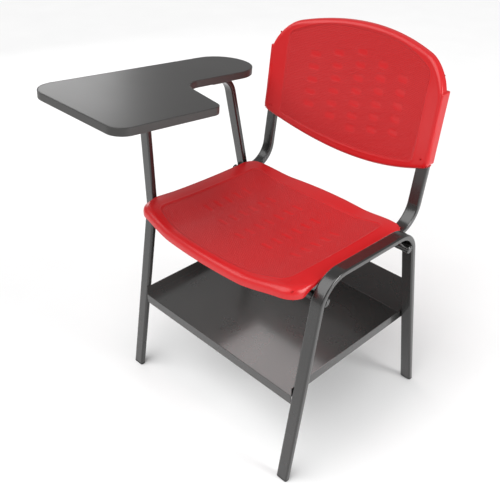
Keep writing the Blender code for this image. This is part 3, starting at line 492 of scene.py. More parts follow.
# %% Red polypropylene, for a seat that lies flat and a backrest that stands
DASH_LONG = 5.0                    # mm
DASH_ROW = 3.6                     # mm from row to row
GROOVE_PAINTED_SHADE = 0.28                # share of painted shade, a dark red laid into the grooves between the dashes


def moulded_red(name, upright):
    finish, tree = new_finish(name)
    place = add_node(tree, "ShaderNodeTexCoord").outputs["Object"]
    parts = add_node(tree, "ShaderNodeSeparateXYZ", {"Vector": place})
    face = add_node(tree, "ShaderNodeCombineXYZ", {"X": parts.outputs["X"],
                    "Y": parts.outputs["Z" if upright else "Y"]})
    dash = add_node(tree, "ShaderNodeTexBrick", {"Vector": face.outputs[0], "Scale": 1000 / DASH_LONG,
                    "Brick Width": 1.0, "Row Height": DASH_ROW / DASH_LONG, "Mortar Size": 0.14,
                    "Mortar Smooth": 0.8, "Bias": 0.0}, offset=0.5)
    panel = add_node(tree, "ShaderNodeAttribute", attribute_name="panel").outputs["Fac"]
    grip = add_node(tree, "ShaderNodeMath", {0: dash.outputs["Fac"], 1: panel},
                    operation="MULTIPLY").outputs[0]
    blast = add_node(tree, "ShaderNodeTexNoise", {"Vector": place, "Scale": 900.0, "Detail": 2.0})
    flow = add_node(tree, "ShaderNodeTexNoise", {"Vector": place, "Scale": 7.0, "Detail": 4.0})
    grip_bump = add_node(tree, "ShaderNodeBump", {"Height": grip, "Strength": 0.8,
                         "Distance": 0.0005}, invert=True)
    skin_bump = add_node(tree, "ShaderNodeBump", {"Height": blast.outputs["Fac"], "Strength": 0.25,
                         "Distance": 0.00004, "Normal": grip_bump.outputs[0]})
    tone = add_node(tree, "ShaderNodeMix", {"Factor": flow.outputs["Fac"], MIX_A: paint("C4171B"),
                    MIX_B: paint("CC1B1F")}, data_type="RGBA")
    # Painted shade: the grooves between the dashes are mixed towards a dark red, though the plastic
    # is the same red all through.
    groove_painted_shade = add_node(tree, "ShaderNodeMath", {0: grip, 1: GROOVE_PAINTED_SHADE}, operation="MULTIPLY")
    colour = add_node(tree, "ShaderNodeMix", {"Factor": groove_painted_shade.outputs[0],
                      MIX_A: tone.outputs[MIX_RESULT], MIX_B: paint("6E1014")}, data_type="RGBA")
    dull = add_node(tree, "ShaderNodeMapRange", {"Value": panel, "To Min": 0.30, "To Max": 0.44})
    shader = add_node(tree, "ShaderNodeBsdfPrincipled", {"Base Color": colour.outputs[MIX_RESULT],
                      "Roughness": dull.outputs[0], "IOR": 1.49, "Normal": skin_bump.outputs[0]})
    return close_finish(finish, tree, shader)


SEAT_RED = moulded_red("polypropylene_red_moulded_seat", upright=False)
BACK_RED = moulded_red("polypropylene_red_moulded_backrest", upright=True)

# %% [markdown]
# ## Pressing a flat sheet into a shell
# A dished seat with a rolled edge and rows of pressed slots can't be had by pulling faces one at a
# time, because every point of it moves. So a fine flat grid is taken as the sheet, and one function
# does what the mould does: it rounds the corners, lays the sheet over the hollow, rolls its last
# rings over the edge, and presses panel and slots into it. Solidify then gives it the wall.

# %% The mould
NUDGE = 1e-5                       # step for measuring how the warp stretches the sheet
NO_LENGTH = 1e-9                   # stands in for a length of zero, where one is divided by
FADE_PER_CORNER, FADE_EXTRA = 0.9, 0.02    # how far in the roll still draws the sheet with it


def ease(value):
    value = np.clip(value, 0.0, 1.0)
    return value * value * (3 - 2 * value)


def inside_round_box(a, b, half_a, half_b, corner):
    """How far each point lies inside a box with round corners; below zero outside."""
    past_a, past_b = np.abs(a) - (half_a - corner), np.abs(b) - (half_b - corner)
    outside = np.hypot(np.maximum(past_a, 0), np.maximum(past_b, 0))
    return corner - outside - np.minimum(np.maximum(past_a, past_b), 0)


def press_sheet(name, cells, half, low, high, corners, warp, surface, roll, skirt, details, rings):
    """Shell over |a| < half, low < b < high.  corners are the radii at low and high; warp bends the
    outline; surface is the height; roll and skirt shape the edge; details presses the pattern."""
    deselect_all()
    bpy.ops.mesh.primitive_grid_add(x_subdivisions=cells[0], y_subdivisions=cells[1], size=2)
    sheet = bpy.context.object
    sheet.name = name
    co = np.empty(len(sheet.data.vertices) * 3)
    sheet.data.vertices.foreach_get("co", co)
    u, v = co.reshape(-1, 3)[:, 0], co.reshape(-1, 3)[:, 1]
    col = (u + 1) / 2 * cells[0]
    row = (v + 1) / 2 * cells[1]
    from_edge = np.minimum(np.minimum(col, cells[0] - col), np.minimum(row, cells[1] - row))
    edge_step = 1.0 - np.clip(from_edge / rings, 0, 1)          # 0 at the inner ring, 1 at the rim
    inner_a = np.clip((col - cells[0] / 2) / (cells[0] / 2 - rings), -1, 1)
    inner_b = np.clip((row - cells[1] / 2) / (cells[1] / 2 - rings), -1, 1)
    middle, tall = (low + high) / 2, (high - low) / 2
    corner = np.where(inner_b < 0, corners[0], corners[1])
    a, b = inner_a * half, inner_b * tall
    past_a, past_b = np.abs(a) - (half - corner), np.abs(b) - (tall - corner)
    in_corner = (past_a > 0) & (past_b > 0)
    reach = np.maximum(past_a, past_b)
    length = np.maximum(np.hypot(past_a, past_b), NO_LENGTH)
    squeeze = np.where(in_corner, reach / length, 1.0)
    a = np.where(in_corner, np.sign(a) * (half - corner + past_a * squeeze), a)
    b = np.where(in_corner, np.sign(b) * (tall - corner + past_b * squeeze), b)
    depth_in = inside_round_box(a, b, half, tall, corner)
    side = (half - np.abs(a)) < (tall - np.abs(b))
    out_a = np.where(in_corner, np.sign(a) * past_a / length, np.where(side, np.sign(a), 0.0))
    out_b = np.where(in_corner, np.sign(b) * past_b / length,
                     np.where(side, 0.0, np.where(b < 0, -1.0, 1.0)))
    rim_a, rim_b = a + out_a * depth_in, b + out_b * depth_in
    here_a, here_b = warp(rim_a, rim_b + middle)
    next_a = warp(rim_a + NUDGE, rim_b + middle)
    next_b = warp(rim_a, rim_b + middle + NUDGE)
    slope_aa, slope_ab = (next_a[0] - here_a) / NUDGE, (next_b[0] - here_a) / NUDGE
    slope_ba, slope_bb = (next_a[1] - here_b) / NUDGE, (next_b[1] - here_b) / NUDGE
    normal_a = slope_bb * out_a - slope_ba * out_b
    normal_b = -slope_ab * out_a + slope_aa * out_b
    size = np.hypot(normal_a, normal_b)
    normal_a, normal_b = normal_a / size, normal_b / size
    radius, drop = roll(here_a, here_b), skirt(here_a, here_b)
    fade = 1 - ease(depth_in / (min(corners) * FADE_PER_CORNER + FADE_EXTRA))
    flat_a, flat_b = warp(a, b + middle)
    spot_a, spot_b = flat_a - normal_a * radius * fade, flat_b - normal_b * radius * fade
    arc = radius * math.pi / 2
    travel = edge_step * (arc + drop)
    turn = np.clip(travel / radius, 0, math.pi / 2)
    spot_a = np.where(edge_step > 0, here_a - normal_a * radius * (1 - np.sin(turn)), spot_a)
    spot_b = np.where(edge_step > 0, here_b - normal_b * radius * (1 - np.sin(turn)), spot_b)
    down = np.where(edge_step > 0, radius * (1 - np.cos(turn)) + np.maximum(travel - arc, 0), 0.0)
    relief, panel = details(spot_a, spot_b)
    relief = np.where(edge_step > 0, 0.0, relief)
    height = surface(spot_a, spot_b) - down + relief
    sheet.data.vertices.foreach_set("co", np.column_stack([spot_a, spot_b, height]).ravel())
    painted = sheet.data.attributes.new("panel", "FLOAT", "POINT")
    painted.data.foreach_set("value", np.where(edge_step > 0, 0.0, panel).astype(np.float32))
    sheet.data.update()
    print(name, "sheet of", len(sheet.data.polygons), "faces")
    return sheet


ROUND_END = 0.98                   # corner of a slot, as a share of half its height


def pressed_rows(a, b, counts, pitch_a, pitch_b, middle, half_long, half_high, edge):
    """1 inside slots with round ends, laid in rows across; counts gives each column's number."""
    depth = np.zeros_like(a)
    for column, count in enumerate(counts):
        centre_a = (column - (len(counts) - 1) / 2) * pitch_a
        for place in range(count):
            centre_b = middle + (place - (count - 1) / 2) * pitch_b
            inside = inside_round_box(a - centre_a, b - centre_b, half_long, half_high,
                                      half_high * ROUND_END)
            depth = np.maximum(depth, ease(inside / edge + 0.5))
    return depth


# %% [markdown]
# ## The seat
# A shallow dish that rises to the front and rolls over there in a wide lip, so that it doesn't cut
# into the legs. The middle is sunk a little, with a narrow ridge around it, and five columns of
# pressed slots stiffen it and let air under the sitter.

# %% Seat
seat_low, seat_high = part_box("seat_shell")
SEAT_HALF = (seat_high.x - seat_low.x) / 2
SEAT_WALL = 0.0035
SEAT_REAR_Y, SEAT_FRONT_Y = -0.0830, -0.4240
SEAT_REAR_BOW, SEAT_FRONT_BOW = 0.0290, 0.0230
SEAT_MIDDLE_Y = (SEAT_REAR_Y + SEAT_FRONT_Y) / 2
SEAT_CLEARANCE = 0.0010            # middle of the seat above the cross bars
SEAT_REST = 0.0018                 # border of the seat above the back supports
SEAT_Z = BAR_HEIGHT + BAR_RADIUS + SEAT_CLEARANCE + SEAT_WALL
SEAT_BORDER_RISE = SUPPORT_Z + TUBE_DEPTH / 2 + GAP + SEAT_REST + SEAT_WALL - SEAT_Z
SEAT_FALL, SEAT_DISH = 0.0205, 0.1870      # slope to the rear, and rise to both ends
SEAT_FLAT = 0.1000                 # half width of the level middle
SEAT_CORNERS = (0.0320, 0.0260)    # front, rear
SEAT_CELLS, SEAT_RINGS = (210, 166), 8
LIP_SPREAD, LIP_SHIFT = 0.0100, 0.0012     # the lip is a little wider, and stands to one side
LIP_SPREAD_Y, LIP_SPREAD_RUN = -0.3250, 0.0450
EDGE_ROLL, FRONT_ROLL = 0.0038, 0.0122
EDGE_SKIRT, FRONT_SKIRT = 0.0010, 0.0060

RIDGE_HIGH, RIDGE_WIDE = 0.0006, 0.0016
PANEL_SINK, PANEL_SINK_FROM, PANEL_SINK_RUN = 0.0010, 0.0010, 0.0040
PANEL_PAINT = 0.0030               # the grip pattern fades in over this much of the border
SEAT_PANEL_HALF, SEAT_PANEL_CORNER = 0.1920, 0.0200
SEAT_PANEL_FRONT, SEAT_PANEL_REAR = -0.4300, -0.0980
SEAT_PANEL_BOW, SEAT_PANEL_BOW_HALF, SEAT_PANEL_BOW_POWER = 0.0300, 0.1900, 2.4
ROW_COUNTS = (5, 6, 7, 6, 5)
SLOT_SINK, SLOT_EDGE = 0.0009, 0.0040
SLOT_PITCH_X, SLOT_PITCH_Y, SLOT_MIDDLE_Y = 0.0661, 0.0298, -0.2477
SLOT_HALF_LONG, SLOT_HALF_HIGH = 0.0140, 0.0047
PIP_X, PIP_Y, PIP_WIDE, PIP_HIGH = 0.2150, -0.2430, 0.0022, 0.0006


def seat_warp(a, b):
    rearward = (b - SEAT_FRONT_Y) / (SEAT_REAR_Y - SEAT_FRONT_Y)
    bow = SEAT_REAR_BOW * rearward - SEAT_FRONT_BOW * (1 - rearward)
    wider = 1 + LIP_SPREAD * ease((LIP_SPREAD_Y - b) / LIP_SPREAD_RUN)
    return a * wider + LIP_SHIFT, b + bow * (1 - (a / SEAT_HALF) ** 2)


def seat_surface(a, b):
    along = b - SEAT_MIDDLE_Y
    border = ease((np.abs(a) - SEAT_FLAT) / (SUPPORT_X - SEAT_FLAT))
    return SEAT_Z - SEAT_FALL * along + SEAT_DISH * along * along + SEAT_BORDER_RISE * border


def seat_front(b, start, run):
    """0 along the sides, 1 in the front lip."""
    return ease((SEAT_FRONT_Y + start - b) / run)


def seat_roll(a, b):
    return EDGE_ROLL + FRONT_ROLL * seat_front(b, 0.0520, 0.0300)


def seat_skirt(a, b):
    return EDGE_SKIRT + FRONT_SKIRT * seat_front(b, 0.0800, 0.0350)


def panel_relief(depth):
    """Height across a panel's edge: a narrow ridge, then the sunk field."""
    ridge = RIDGE_HIGH * np.exp(-(depth / RIDGE_WIDE) ** 2)
    return ridge - PANEL_SINK * ease((depth - PANEL_SINK_FROM) / PANEL_SINK_RUN)


def seat_panel(a, b):
    share = np.clip(np.abs(a) / SEAT_PANEL_BOW_HALF, 0, 1)
    front = SEAT_PANEL_FRONT + SEAT_PANEL_BOW * share ** SEAT_PANEL_BOW_POWER
    middle = (front + SEAT_PANEL_REAR) / 2
    tall = (SEAT_PANEL_REAR - front) / 2
    return inside_round_box(a, b - middle, SEAT_PANEL_HALF, tall, SEAT_PANEL_CORNER)


def seat_details(a, b):
    depth = seat_panel(a, b)
    slots = pressed_rows(a, b, ROW_COUNTS, SLOT_PITCH_X, SLOT_PITCH_Y, SLOT_MIDDLE_Y,
                         SLOT_HALF_LONG, SLOT_HALF_HIGH, SLOT_EDGE)
    pips = np.exp(-((np.abs(a) - PIP_X) ** 2 + (b - PIP_Y) ** 2) / PIP_WIDE ** 2)
    relief = panel_relief(depth) - SLOT_SINK * slots + PIP_HIGH * pips
    return relief, ease(depth / PANEL_PAINT) * (1 - slots)


seat = press_sheet("seat", SEAT_CELLS, SEAT_HALF, SEAT_FRONT_Y, SEAT_REAR_Y, SEAT_CORNERS, seat_warp,
                   seat_surface, seat_roll, seat_skirt, seat_details, SEAT_RINGS)
add_modifier(seat, "SOLIDIFY", thickness=SEAT_WALL, offset=-1)
smooth(seat, 50)
hand_in(seat, SEAT_RED, "red_polypropylene", "seat_shell")

# %% [markdown]
# ## The backrest
# The same kind of shell stood on edge, hollow towards the sitter, with a crown along its top and a
# belly along its bottom. Behind each side a sleeve is moulded on, and the support tube slides up
# into it. The shell is pressed lying down, as the seat is, and then stood up.

# %% Backrest
back_low, back_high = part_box("backrest_shell")
BACK_TRIM = 0.0008                 # the sleeves reach this far past the shell's sides
BACK_HALF = (back_high.x - back_low.x) / 2 - BACK_TRIM
BACK_WALL = 0.0030
BACK_BOTTOM, BACK_SIDE_TOP = 0.5710, 0.7640
BACK_TOP_BOW, BACK_BOTTOM_BOW = 0.0385, 0.0570
BACK_TAPER = 0.0040
FACE_RADIUS = 0.6460
FACE_LEAN = math.radians(8.2)
FACE_BITE = 0.0010                 # nearest edge of the supports into the shell's wall
BACK_CORNERS = (0.0130, 0.0600)    # bottom, top
BACK_CELLS, BACK_RINGS = (200, 124), 10
BACK_ROLL = 0.0090
BACK_SKIRT, BACK_SIDE_SKIRT, BACK_SIDE_RUN = 0.0075, 0.0035, 0.0600
BACK_PANEL_HALF, BACK_PANEL_CORNER = 0.1915, 0.0120
BACK_PANEL_TOP, BACK_PANEL_TOP_FALL, BACK_PANEL_TOP_POWER = 0.7950, 0.0400, 2.6
BACK_PANEL_BOTTOM, BACK_PANEL_BOTTOM_RISE = 0.5330, 0.0340
OVAL_SINK, OVAL_EDGE = 0.0010, 0.0040
OVAL_PITCH_X, OVAL_PITCH_Z, OVAL_MIDDLE_Z = 0.0597, 0.0281, 0.6612
OVAL_HALF_LONG, OVAL_HALF_HIGH = 0.0135, 0.0068


def back_warp(a, b):
    upward = (b - BACK_BOTTOM) / (BACK_SIDE_TOP - BACK_BOTTOM)
    bow = BACK_TOP_BOW * upward - BACK_BOTTOM_BOW * (1 - upward)
    return a * (1 - BACK_TAPER / BACK_HALF * upward), b + bow * (1 - (a / BACK_HALF) ** 2)


def back_face_y(a, b):
    front_of_support = support_y(BACK_BOTTOM) - TUBE_DEPTH / 2 / math.cos(BACK_LEAN)
    inner = SUPPORT_X - TUBE_WIDTH / 2 - GAP
    hollow = (inner ** 2 - a ** 2) / (2 * FACE_RADIUS)
    slope = math.tan(FACE_LEAN) * (b - BACK_BOTTOM)
    return front_of_support + FACE_BITE - BACK_WALL + hollow + slope


def back_panel(a, b):
    share = np.clip(np.abs(a) / BACK_PANEL_HALF, 0, 1)
    top = BACK_PANEL_TOP - BACK_PANEL_TOP_FALL * share ** BACK_PANEL_TOP_POWER
    bottom = BACK_PANEL_BOTTOM + BACK_PANEL_BOTTOM_RISE * share ** 2
    return inside_round_box(a, b - (top + bottom) / 2, BACK_PANEL_HALF, (top - bottom) / 2,
                            BACK_PANEL_CORNER)


def back_details(a, b):
    depth = back_panel(a, b)
    ovals = pressed_rows(a, b, ROW_COUNTS, OVAL_PITCH_X, OVAL_PITCH_Z, OVAL_MIDDLE_Z,
                         OVAL_HALF_LONG, OVAL_HALF_HIGH, OVAL_EDGE)
    return panel_relief(depth) - OVAL_SINK * ovals, ease(depth / PANEL_PAINT) * (1 - ovals)


def back_surface(a, b):
    return -back_face_y(a, b)


def back_roll(a, b):
    return np.full_like(a, BACK_ROLL)


def back_skirt(a, b):
    to_side = ease((np.abs(a) - BACK_HALF + BACK_SIDE_RUN) / BACK_SIDE_RUN)
    return BACK_SKIRT + BACK_SIDE_SKIRT * to_side


backrest = press_sheet("backrest", BACK_CELLS, BACK_HALF, BACK_BOTTOM, BACK_SIDE_TOP, BACK_CORNERS,
                       back_warp, back_surface, back_roll, back_skirt, back_details, BACK_RINGS)
backrest.rotation_euler = (math.pi / 2, 0, 0)
apply_place(backrest)
add_modifier(backrest, "SOLIDIFY", thickness=BACK_WALL, offset=-1)

# %% [markdown]
# The sleeves behind the backrest are part of the same moulding. Each starts as a small plate at the
# sleeve's foot, is pulled up along the slope of the face, and is rounded along its length. It runs a
# little into the shell's wall in front, where the two are one piece of plastic.

# %% Sleeves behind the backrest
SLEEVE_WALL = 0.0022
SLEEVE_RISE = 0.0040               # foot of a sleeve above the shell's lowest side edge
SLEEVE_OVER = 0.0066               # top of a sleeve above the end of its tube
SLEEVE_BURY = 0.0018               # front of a sleeve inside the shell's wall
POCKET_DEPTH = 0.0060              # as deep as the opening can be seen into
SLEEVE_CORNER, SLEEVE_TOP_EDGE = 0.0045, 0.0020
sleeve_foot = BACK_BOTTOM + SLEEVE_RISE
sleeve_climb = SUPPORT_TOP + SLEEVE_OVER - sleeve_foot


def sleeve_rear_y(z):
    behind = (TUBE_DEPTH / 2 + GAP + SLEEVE_WALL) / math.cos(BACK_LEAN)
    return support_y(SUPPORT_TOP) + behind - math.tan(FACE_LEAN) * (SUPPORT_TOP - z)


def edge_climb(piece, edge):
    first, last = (piece.data.vertices[index].co for index in edge.vertices)
    return abs((first - last).z)


sleeve_rear = sleeve_rear_y(sleeve_foot)
sleeve_wide = TUBE_WIDTH + 2 * (GAP + SLEEVE_WALL)
sleeves = []
for side, sign in (("plain", 1), ("tablet", -1)):
    deselect_all()
    bpy.ops.mesh.primitive_plane_add(size=sleeve_wide,
                                     location=(sign * SUPPORT_X, sleeve_rear, sleeve_foot))
    sleeve = bpy.context.object
    apply_place(sleeve)
    for vert in sleeve.data.vertices:
        in_front = vert.co.y < sleeve_rear
        buried = back_face_y(vert.co.x, sleeve_foot) + SLEEVE_BURY
        vert.co.y = buried if in_front else sleeve_rear
    bpy.ops.object.mode_set(mode="EDIT")
    bpy.ops.mesh.select_all(action="SELECT")
    pull((0, math.tan(FACE_LEAN) * sleeve_climb, sleeve_climb))
    bpy.ops.mesh.select_all(action="SELECT")
    bpy.ops.mesh.normals_make_consistent(inside=False)
    pick(sleeve, lambda face: face.normal.z < -0.5)
    bpy.ops.mesh.inset(thickness=SLEEVE_WALL)
    pull((0, math.tan(FACE_LEAN) * POCKET_DEPTH, POCKET_DEPTH))
    corners = pick(sleeve, lambda edge: edge_climb(sleeve, edge) > sleeve_climb / 2, "EDGE")
    bpy.ops.mesh.bevel(offset=SLEEVE_CORNER, segments=5, affect="EDGES")
    pick(sleeve, lambda face: face.normal.z > 0.5)
    bpy.ops.mesh.region_to_loop()
    bpy.ops.mesh.bevel(offset=SLEEVE_TOP_EDGE, segments=4, affect="EDGES")
    bpy.ops.object.mode_set(mode="OBJECT")
    sleeves.append(sleeve)
    print("sleeve", side, "rounded along", corners, "edges")

only(backrest)
for sleeve in sleeves:
    sleeve.select_set(True)
bpy.ops.object.join()
smooth(backrest, 50)
hand_in(backrest, BACK_RED, "red_polypropylene", "backrest_shell")

# %% [markdown]
# ## The book tray
# One steel sheet, folded up at both sides, high at the back and down at the front. A folded sheet is
# a flat plate whose edges are pulled up, so that is how it is made: then the folds are rounded and
# the plate is given its 1.2 mm.

# %% Tray
TRAY_HEIGHT = 0.2029
TRAY_SHEET = 0.0012
TRAY_RIM, TRAY_BACK, TRAY_LIP, TRAY_FOLD = 0.0225, 0.1120, 0.0200, 0.0020
leg_face = TUBE_DEPTH / 2 / math.cos(LEG_LEAN)
tray_half = FRAME_X - TUBE_WIDTH / 2 - GAP
tray_front = FRONT_FOOT_Y + LEAN * TRAY_HEIGHT - leg_face + TRAY_SHEET
tray_rear = REAR_FOOT_Y - LEAN * TRAY_HEIGHT + leg_face
tray_under = TRAY_HEIGHT - TRAY_SHEET
ON_LINE = 0.0010                   # closer than this to a line counts as on it

deselect_all()
bpy.ops.mesh.primitive_plane_add(size=1, location=(0, (tray_front + tray_rear) / 2, tray_under))
tray = bpy.context.object
tray.name = "tray"
tray.scale = (2 * tray_half, tray_rear - tray_front, 1)
apply_place(tray)


def edge_middle(edge):
    first, last = (tray.data.vertices[index].co for index in edge.vertices)
    return (first + last) / 2


def at_rear_top(edge):
    middle = edge_middle(edge)
    return middle.z > tray_under + TRAY_RIM - ON_LINE and middle.y > tray_rear - TRAY_RIM


def at_front_floor(edge):
    middle = edge_middle(edge)
    return middle.z < tray_under + ON_LINE and middle.y < tray_front + ON_LINE


def is_fold(edge):
    """An edge between two faces, except where the back wall goes straight on upwards."""
    faces = sum(edge.key in face.edge_keys for face in tray.data.polygons)
    return faces == 2 and abs(edge_middle(edge).z - (tray_under + TRAY_RIM)) > ON_LINE / 2


bpy.ops.object.mode_set(mode="EDIT")
pick(tray, lambda edge: edge_middle(edge).y > tray_front + ON_LINE, "EDGE")
pull((0, 0, TRAY_RIM))
pick(tray, lambda vert: vert.co.z > tray_under + ON_LINE and vert.co.y > tray_rear - ON_LINE, "VERT")
bpy.ops.transform.translate(value=(0, -LEAN * TRAY_RIM, 0))
pick(tray, at_rear_top, "EDGE")
pull((0, -LEAN * (TRAY_BACK - TRAY_RIM), TRAY_BACK - TRAY_RIM))
pick(tray, at_front_floor, "EDGE")
pull((0, 0, -TRAY_LIP))
bpy.ops.mesh.select_all(action="SELECT")
bpy.ops.mesh.normals_make_consistent(inside=False)
folds = pick(tray, is_fold, "EDGE")
bpy.ops.mesh.bevel(offset=TRAY_FOLD, segments=5, affect="EDGES")
bpy.ops.object.mode_set(mode="OBJECT")
floor_face = max(tray.data.polygons, key=lambda face: face.area)
if floor_face.normal.z < 0:
    tray.data.flip_normals()
print("folds rounded:", folds)
add_modifier(tray, "SOLIDIFY", thickness=TRAY_SHEET, offset=1)
smooth(tray, 40)
hand_in(tray, TRAY_COAT, "tray_steel", "book_tray")

# %% [markdown]
# ## The writing tablet
# A 16 mm chipboard with dark laminate on both faces and a 2 mm plastic band glued round its edge.
# Its outline has straight sides and six corners, each with its own radius. So the outline is drawn
# with sharp corners first, and each corner is then rounded by bevelling its one vertex. The board
# and the band are two pieces cut from that one outline.

# %% Laminate and edge band
def laminate(name, light, dark, gloss, grain_mm):
    finish, tree = new_finish(name)
    place = add_node(tree, "ShaderNodeTexCoord").outputs["Object"]
    grain = add_node(tree, "ShaderNodeTexNoise", {"Vector": place, "Scale": 1000 / grain_mm,
                     "Detail": 3.0, "Roughness": 0.6})
    cloud = add_node(tree, "ShaderNodeTexNoise", {"Vector": place, "Scale": 6.0, "Detail": 3.0})
    tone = add_node(tree, "ShaderNodeMix", {"Factor": grain.outputs["Fac"], MIX_A: paint(dark),
                    MIX_B: paint(light)}, data_type="RGBA")
    rough = add_node(tree, "ShaderNodeMapRange", {"Value": cloud.outputs["Fac"],
                     "To Min": gloss - 0.03, "To Max": gloss + 0.04})
    bump = add_node(tree, "ShaderNodeBump", {"Height": grain.outputs["Fac"], "Strength": 0.2,
                    "Distance": 0.00004})
    shader = add_node(tree, "ShaderNodeBsdfPrincipled", {"Base Color": tone.outputs[MIX_RESULT],
                      "Roughness": rough.outputs[0], "IOR": 1.52, "Normal": bump.outputs[0]})
    return close_finish(finish, tree, shader)


BOARD_GREY = laminate("melamine_laminate_dark_grey_pearl", "343332", "2B2A29", 0.36, 1.2)
BAND_GREY = laminate("abs_edge_band_dark_grey_extruded", "3A3938", "333231", 0.42, 2.5)

# %% [markdown]
# The outline is a wide lobe in front, where the paper lies, and a narrow arm behind it, where the
# elbow rests. The arm's end is a full half round, so its two corners nearly meet. The board is drawn
# level, so its length is what it measures along the slope.

# %% Outline of the tablet
ARM_FLAT = 0.0005                  # half of the straight left between the arm's two corners
CORNER_STEPS = 20
EDGE_BAND = 0.0020
OUTER_X, INNER_X, ARM_X = -0.3715, -0.0605, -0.2220
FRONT_Y, LOBE_Y, NOTCH_Y, REAR_Y = -0.5670, -0.3203, -0.2870, -0.0415
arm_end = abs(ARM_X - OUTER_X) / 2 - ARM_FLAT
TABLET_CORNERS = [((OUTER_X, FRONT_Y), 0.0550), ((INNER_X, FRONT_Y), 0.0340),
                  ((INNER_X, LOBE_Y), 0.0240), ((ARM_X, NOTCH_Y), 0.0500),
                  ((ARM_X, REAR_Y), arm_end), ((OUTER_X, REAR_Y), arm_end)]


def flat_place(corner):
    """A corner of the outline on the level board, before it is tilted."""
    return Vector((corner[0], (corner[1] - TABLET_LEVEL_Y) / math.cos(TABLET_TILT), 0))


def tablet_blank(name):
    """The outline as one flat face: a six-cornered disc whose corners are pulled to their places."""
    places = [flat_place(corner) for corner, radius in TABLET_CORNERS]
    deselect_all()
    bpy.ops.mesh.primitive_circle_add(vertices=len(places), fill_type="NGON")
    blank = bpy.context.object
    blank.name = name
    for vert, place in zip(blank.data.vertices, places):
        vert.co = place
    blank.data.update()
    bpy.ops.object.mode_set(mode="EDIT")
    for index, (corner, radius) in enumerate(TABLET_CORNERS):
        here, before = places[index], places[index - 1]
        after = places[(index + 1) % len(places)]
        half_angle = (before - here).angle(after - here) / 2
        pick(blank, lambda vert: (vert.co - here).length < ON_LINE, "VERT")
        bpy.ops.mesh.bevel(offset=radius / math.tan(half_angle), offset_type="ABSOLUTE",
                           segments=CORNER_STEPS, affect="VERTICES")
    return blank


def largest(piece):
    return max(face.area for face in piece.data.polygons)


def lay_on_posts(piece):
    only(piece)
    bpy.ops.transform.translate(value=(0, TABLET_LEVEL_Y, TABLET_HEIGHT))
    piece.rotation_euler = (-TABLET_TILT, 0, 0)
    apply_place(piece)


# %% [markdown]
# The band is glued on after the board is cut, and both are then trimmed, so their edges are barely
# broken. Both start as the same blank. The board keeps what is inside an inset, the band what is
# outside it, and each is pulled down by the board's thickness.

# %% Board and band
BOARD_EDGE, BAND_ROUND = 0.0003, 0.0009

board = tablet_blank("board")
pick(board, lambda face: True)
bpy.ops.mesh.inset(thickness=EDGE_BAND + GAP)
bpy.ops.object.mode_set(mode="OBJECT")
area = largest(board)
bpy.ops.object.mode_set(mode="EDIT")
pick(board, lambda face: face.area < area)
bpy.ops.mesh.delete(type="FACE")
bpy.ops.mesh.select_all(action="SELECT")
pull((0, 0, -TABLET_THICKNESS))
bpy.ops.mesh.select_all(action="SELECT")
bpy.ops.mesh.normals_make_consistent(inside=False)
pick(board, lambda face: abs(face.normal.z) > 0.9)
bpy.ops.mesh.region_to_loop()
bpy.ops.mesh.bevel(offset=BOARD_EDGE, segments=2, affect="EDGES")
lay_on_posts(board)
smooth(board, 40)
hand_in(board, BOARD_GREY, "grey_laminate", "tablet_board")

band = tablet_blank("edge_band")
pick(band, lambda face: True)
bpy.ops.mesh.inset(thickness=EDGE_BAND)
bpy.ops.object.mode_set(mode="OBJECT")
area = largest(band)
bpy.ops.object.mode_set(mode="EDIT")
pick(band, lambda face: face.area == area)
bpy.ops.mesh.delete(type="FACE")
bpy.ops.mesh.select_all(action="SELECT")
pull((0, 0, -TABLET_THICKNESS))
bpy.ops.mesh.select_all(action="SELECT")
bpy.ops.mesh.normals_make_consistent(inside=False)
bpy.ops.object.mode_set(mode="OBJECT")
print("band faces:", len(band.data.polygons))
add_modifier(band, "BEVEL", width=BAND_ROUND, segments=3, limit_method="ANGLE",
             angle_limit=math.radians(60))
lay_on_posts(band)
smooth(band, 40)
hand_in(band, BAND_GREY, "grey_edge_band", "tablet_edge_band")

# %% [markdown]
# ## Black plastic and zinc
# Feet and end plugs are moulded from polyethylene in a spark-eroded mould, which leaves a fine, dull
# grain that dust and shoes scuff. The screws are plated with zinc in a rolling barrel, so they come
# out bright, but cloudy where they knocked against each other.

# %% Plastic and zinc
def black_plastic():
    finish, tree = new_finish("polyethylene_black_moulded")
    place = add_node(tree, "ShaderNodeTexCoord").outputs["Object"]
    spark = add_node(tree, "ShaderNodeTexNoise", {"Vector": place, "Scale": 1500.0, "Detail": 2.0})
    scuff = add_node(tree, "ShaderNodeTexNoise", {"Vector": place, "Scale": 120.0, "Detail": 4.0})
    tone = add_node(tree, "ShaderNodeMix", {"Factor": scuff.outputs["Fac"], MIX_A: paint("1A1A1A"),
                    MIX_B: paint("2A2928")}, data_type="RGBA")
    bump = add_node(tree, "ShaderNodeBump", {"Height": spark.outputs["Fac"], "Strength": 0.3,
                    "Distance": 0.00005})
    shader = add_node(tree, "ShaderNodeBsdfPrincipled", {"Base Color": tone.outputs[MIX_RESULT],
                      "Roughness": 0.5, "IOR": 1.51, "Normal": bump.outputs[0]})
    return close_finish(finish, tree, shader)


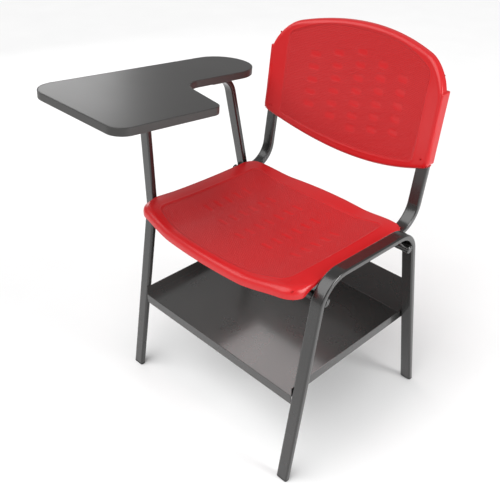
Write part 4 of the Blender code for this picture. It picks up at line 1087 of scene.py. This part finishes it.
def zinc():
    finish, tree = new_finish("steel_screw_zinc_plated_bright")
    place = add_node(tree, "ShaderNodeTexCoord").outputs["Object"]
    cloud = add_node(tree, "ShaderNodeTexNoise", {"Vector": place, "Scale": 700.0, "Detail": 3.0})
    tone = add_node(tree, "ShaderNodeMix", {"Factor": cloud.outputs["Fac"], MIX_A: paint("B9BCC0"),
                    MIX_B: paint("D4D5D2")}, data_type="RGBA")
    rough = add_node(tree, "ShaderNodeMapRange", {"Value": cloud.outputs["Fac"], "To Min": 0.22,
                     "To Max": 0.38})
    shader = add_node(tree, "ShaderNodeBsdfPrincipled", {"Base Color": tone.outputs[MIX_RESULT],
                      "Metallic": 1.0, "Roughness": rough.outputs[0]})
    return close_finish(finish, tree, shader)


BLACK = black_plastic()
ZINC = zinc()

# %% [markdown]
# ## Bars, caps, feet, plates and screws
# The solids of the small parts already have their true shape: cut, turned or moulded pieces with few
# curves. Their round sides are cut in flat facets though. So each is copied, the corners that its
# triangles share are merged, and the copy is shaded smooth across shallow edges.

# %% Smooth copies of the small solids
SAME_POINT = 0.000005
SMALL_PARTS = {
    "cross_bar": (FRAME_COAT, "powder_coated_steel"),
    "bar_cap": (FRAME_COAT, "powder_coated_steel"),
    "tablet_plate": (FRAME_COAT, "powder_coated_steel"), "foot": (BLACK, "black_plastic"),
    "support_plug": (BLACK, "black_plastic"), "seat_screw": (ZINC, "zinc_plated_steel"),
    "back_screw": (ZINC, "zinc_plated_steel"), "tablet_screw": (ZINC, "zinc_plated_steel")}

for name, solid in sorted(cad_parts.items()):
    family = next((part for part in SMALL_PARTS if name.startswith(part)), None)
    if family is None:
        continue
    finish, slot = SMALL_PARTS[family]
    copy = bpy.data.objects.new(name + "_smooth", solid.data.copy())
    bpy.context.scene.collection.objects.link(copy)
    only(copy)
    bpy.ops.object.mode_set(mode="EDIT")
    bpy.ops.mesh.select_all(action="SELECT")
    bpy.ops.mesh.remove_doubles(threshold=SAME_POINT)
    bpy.ops.object.mode_set(mode="OBJECT")
    bpy.ops.object.shade_smooth_by_angle(angle=math.radians(40))
    copy.data.materials.clear()
    copy.data.materials.append(finish)
    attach(copy, "root")
    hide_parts(name)
    print(copy.name, "triangles:", len(copy.data.polygons))
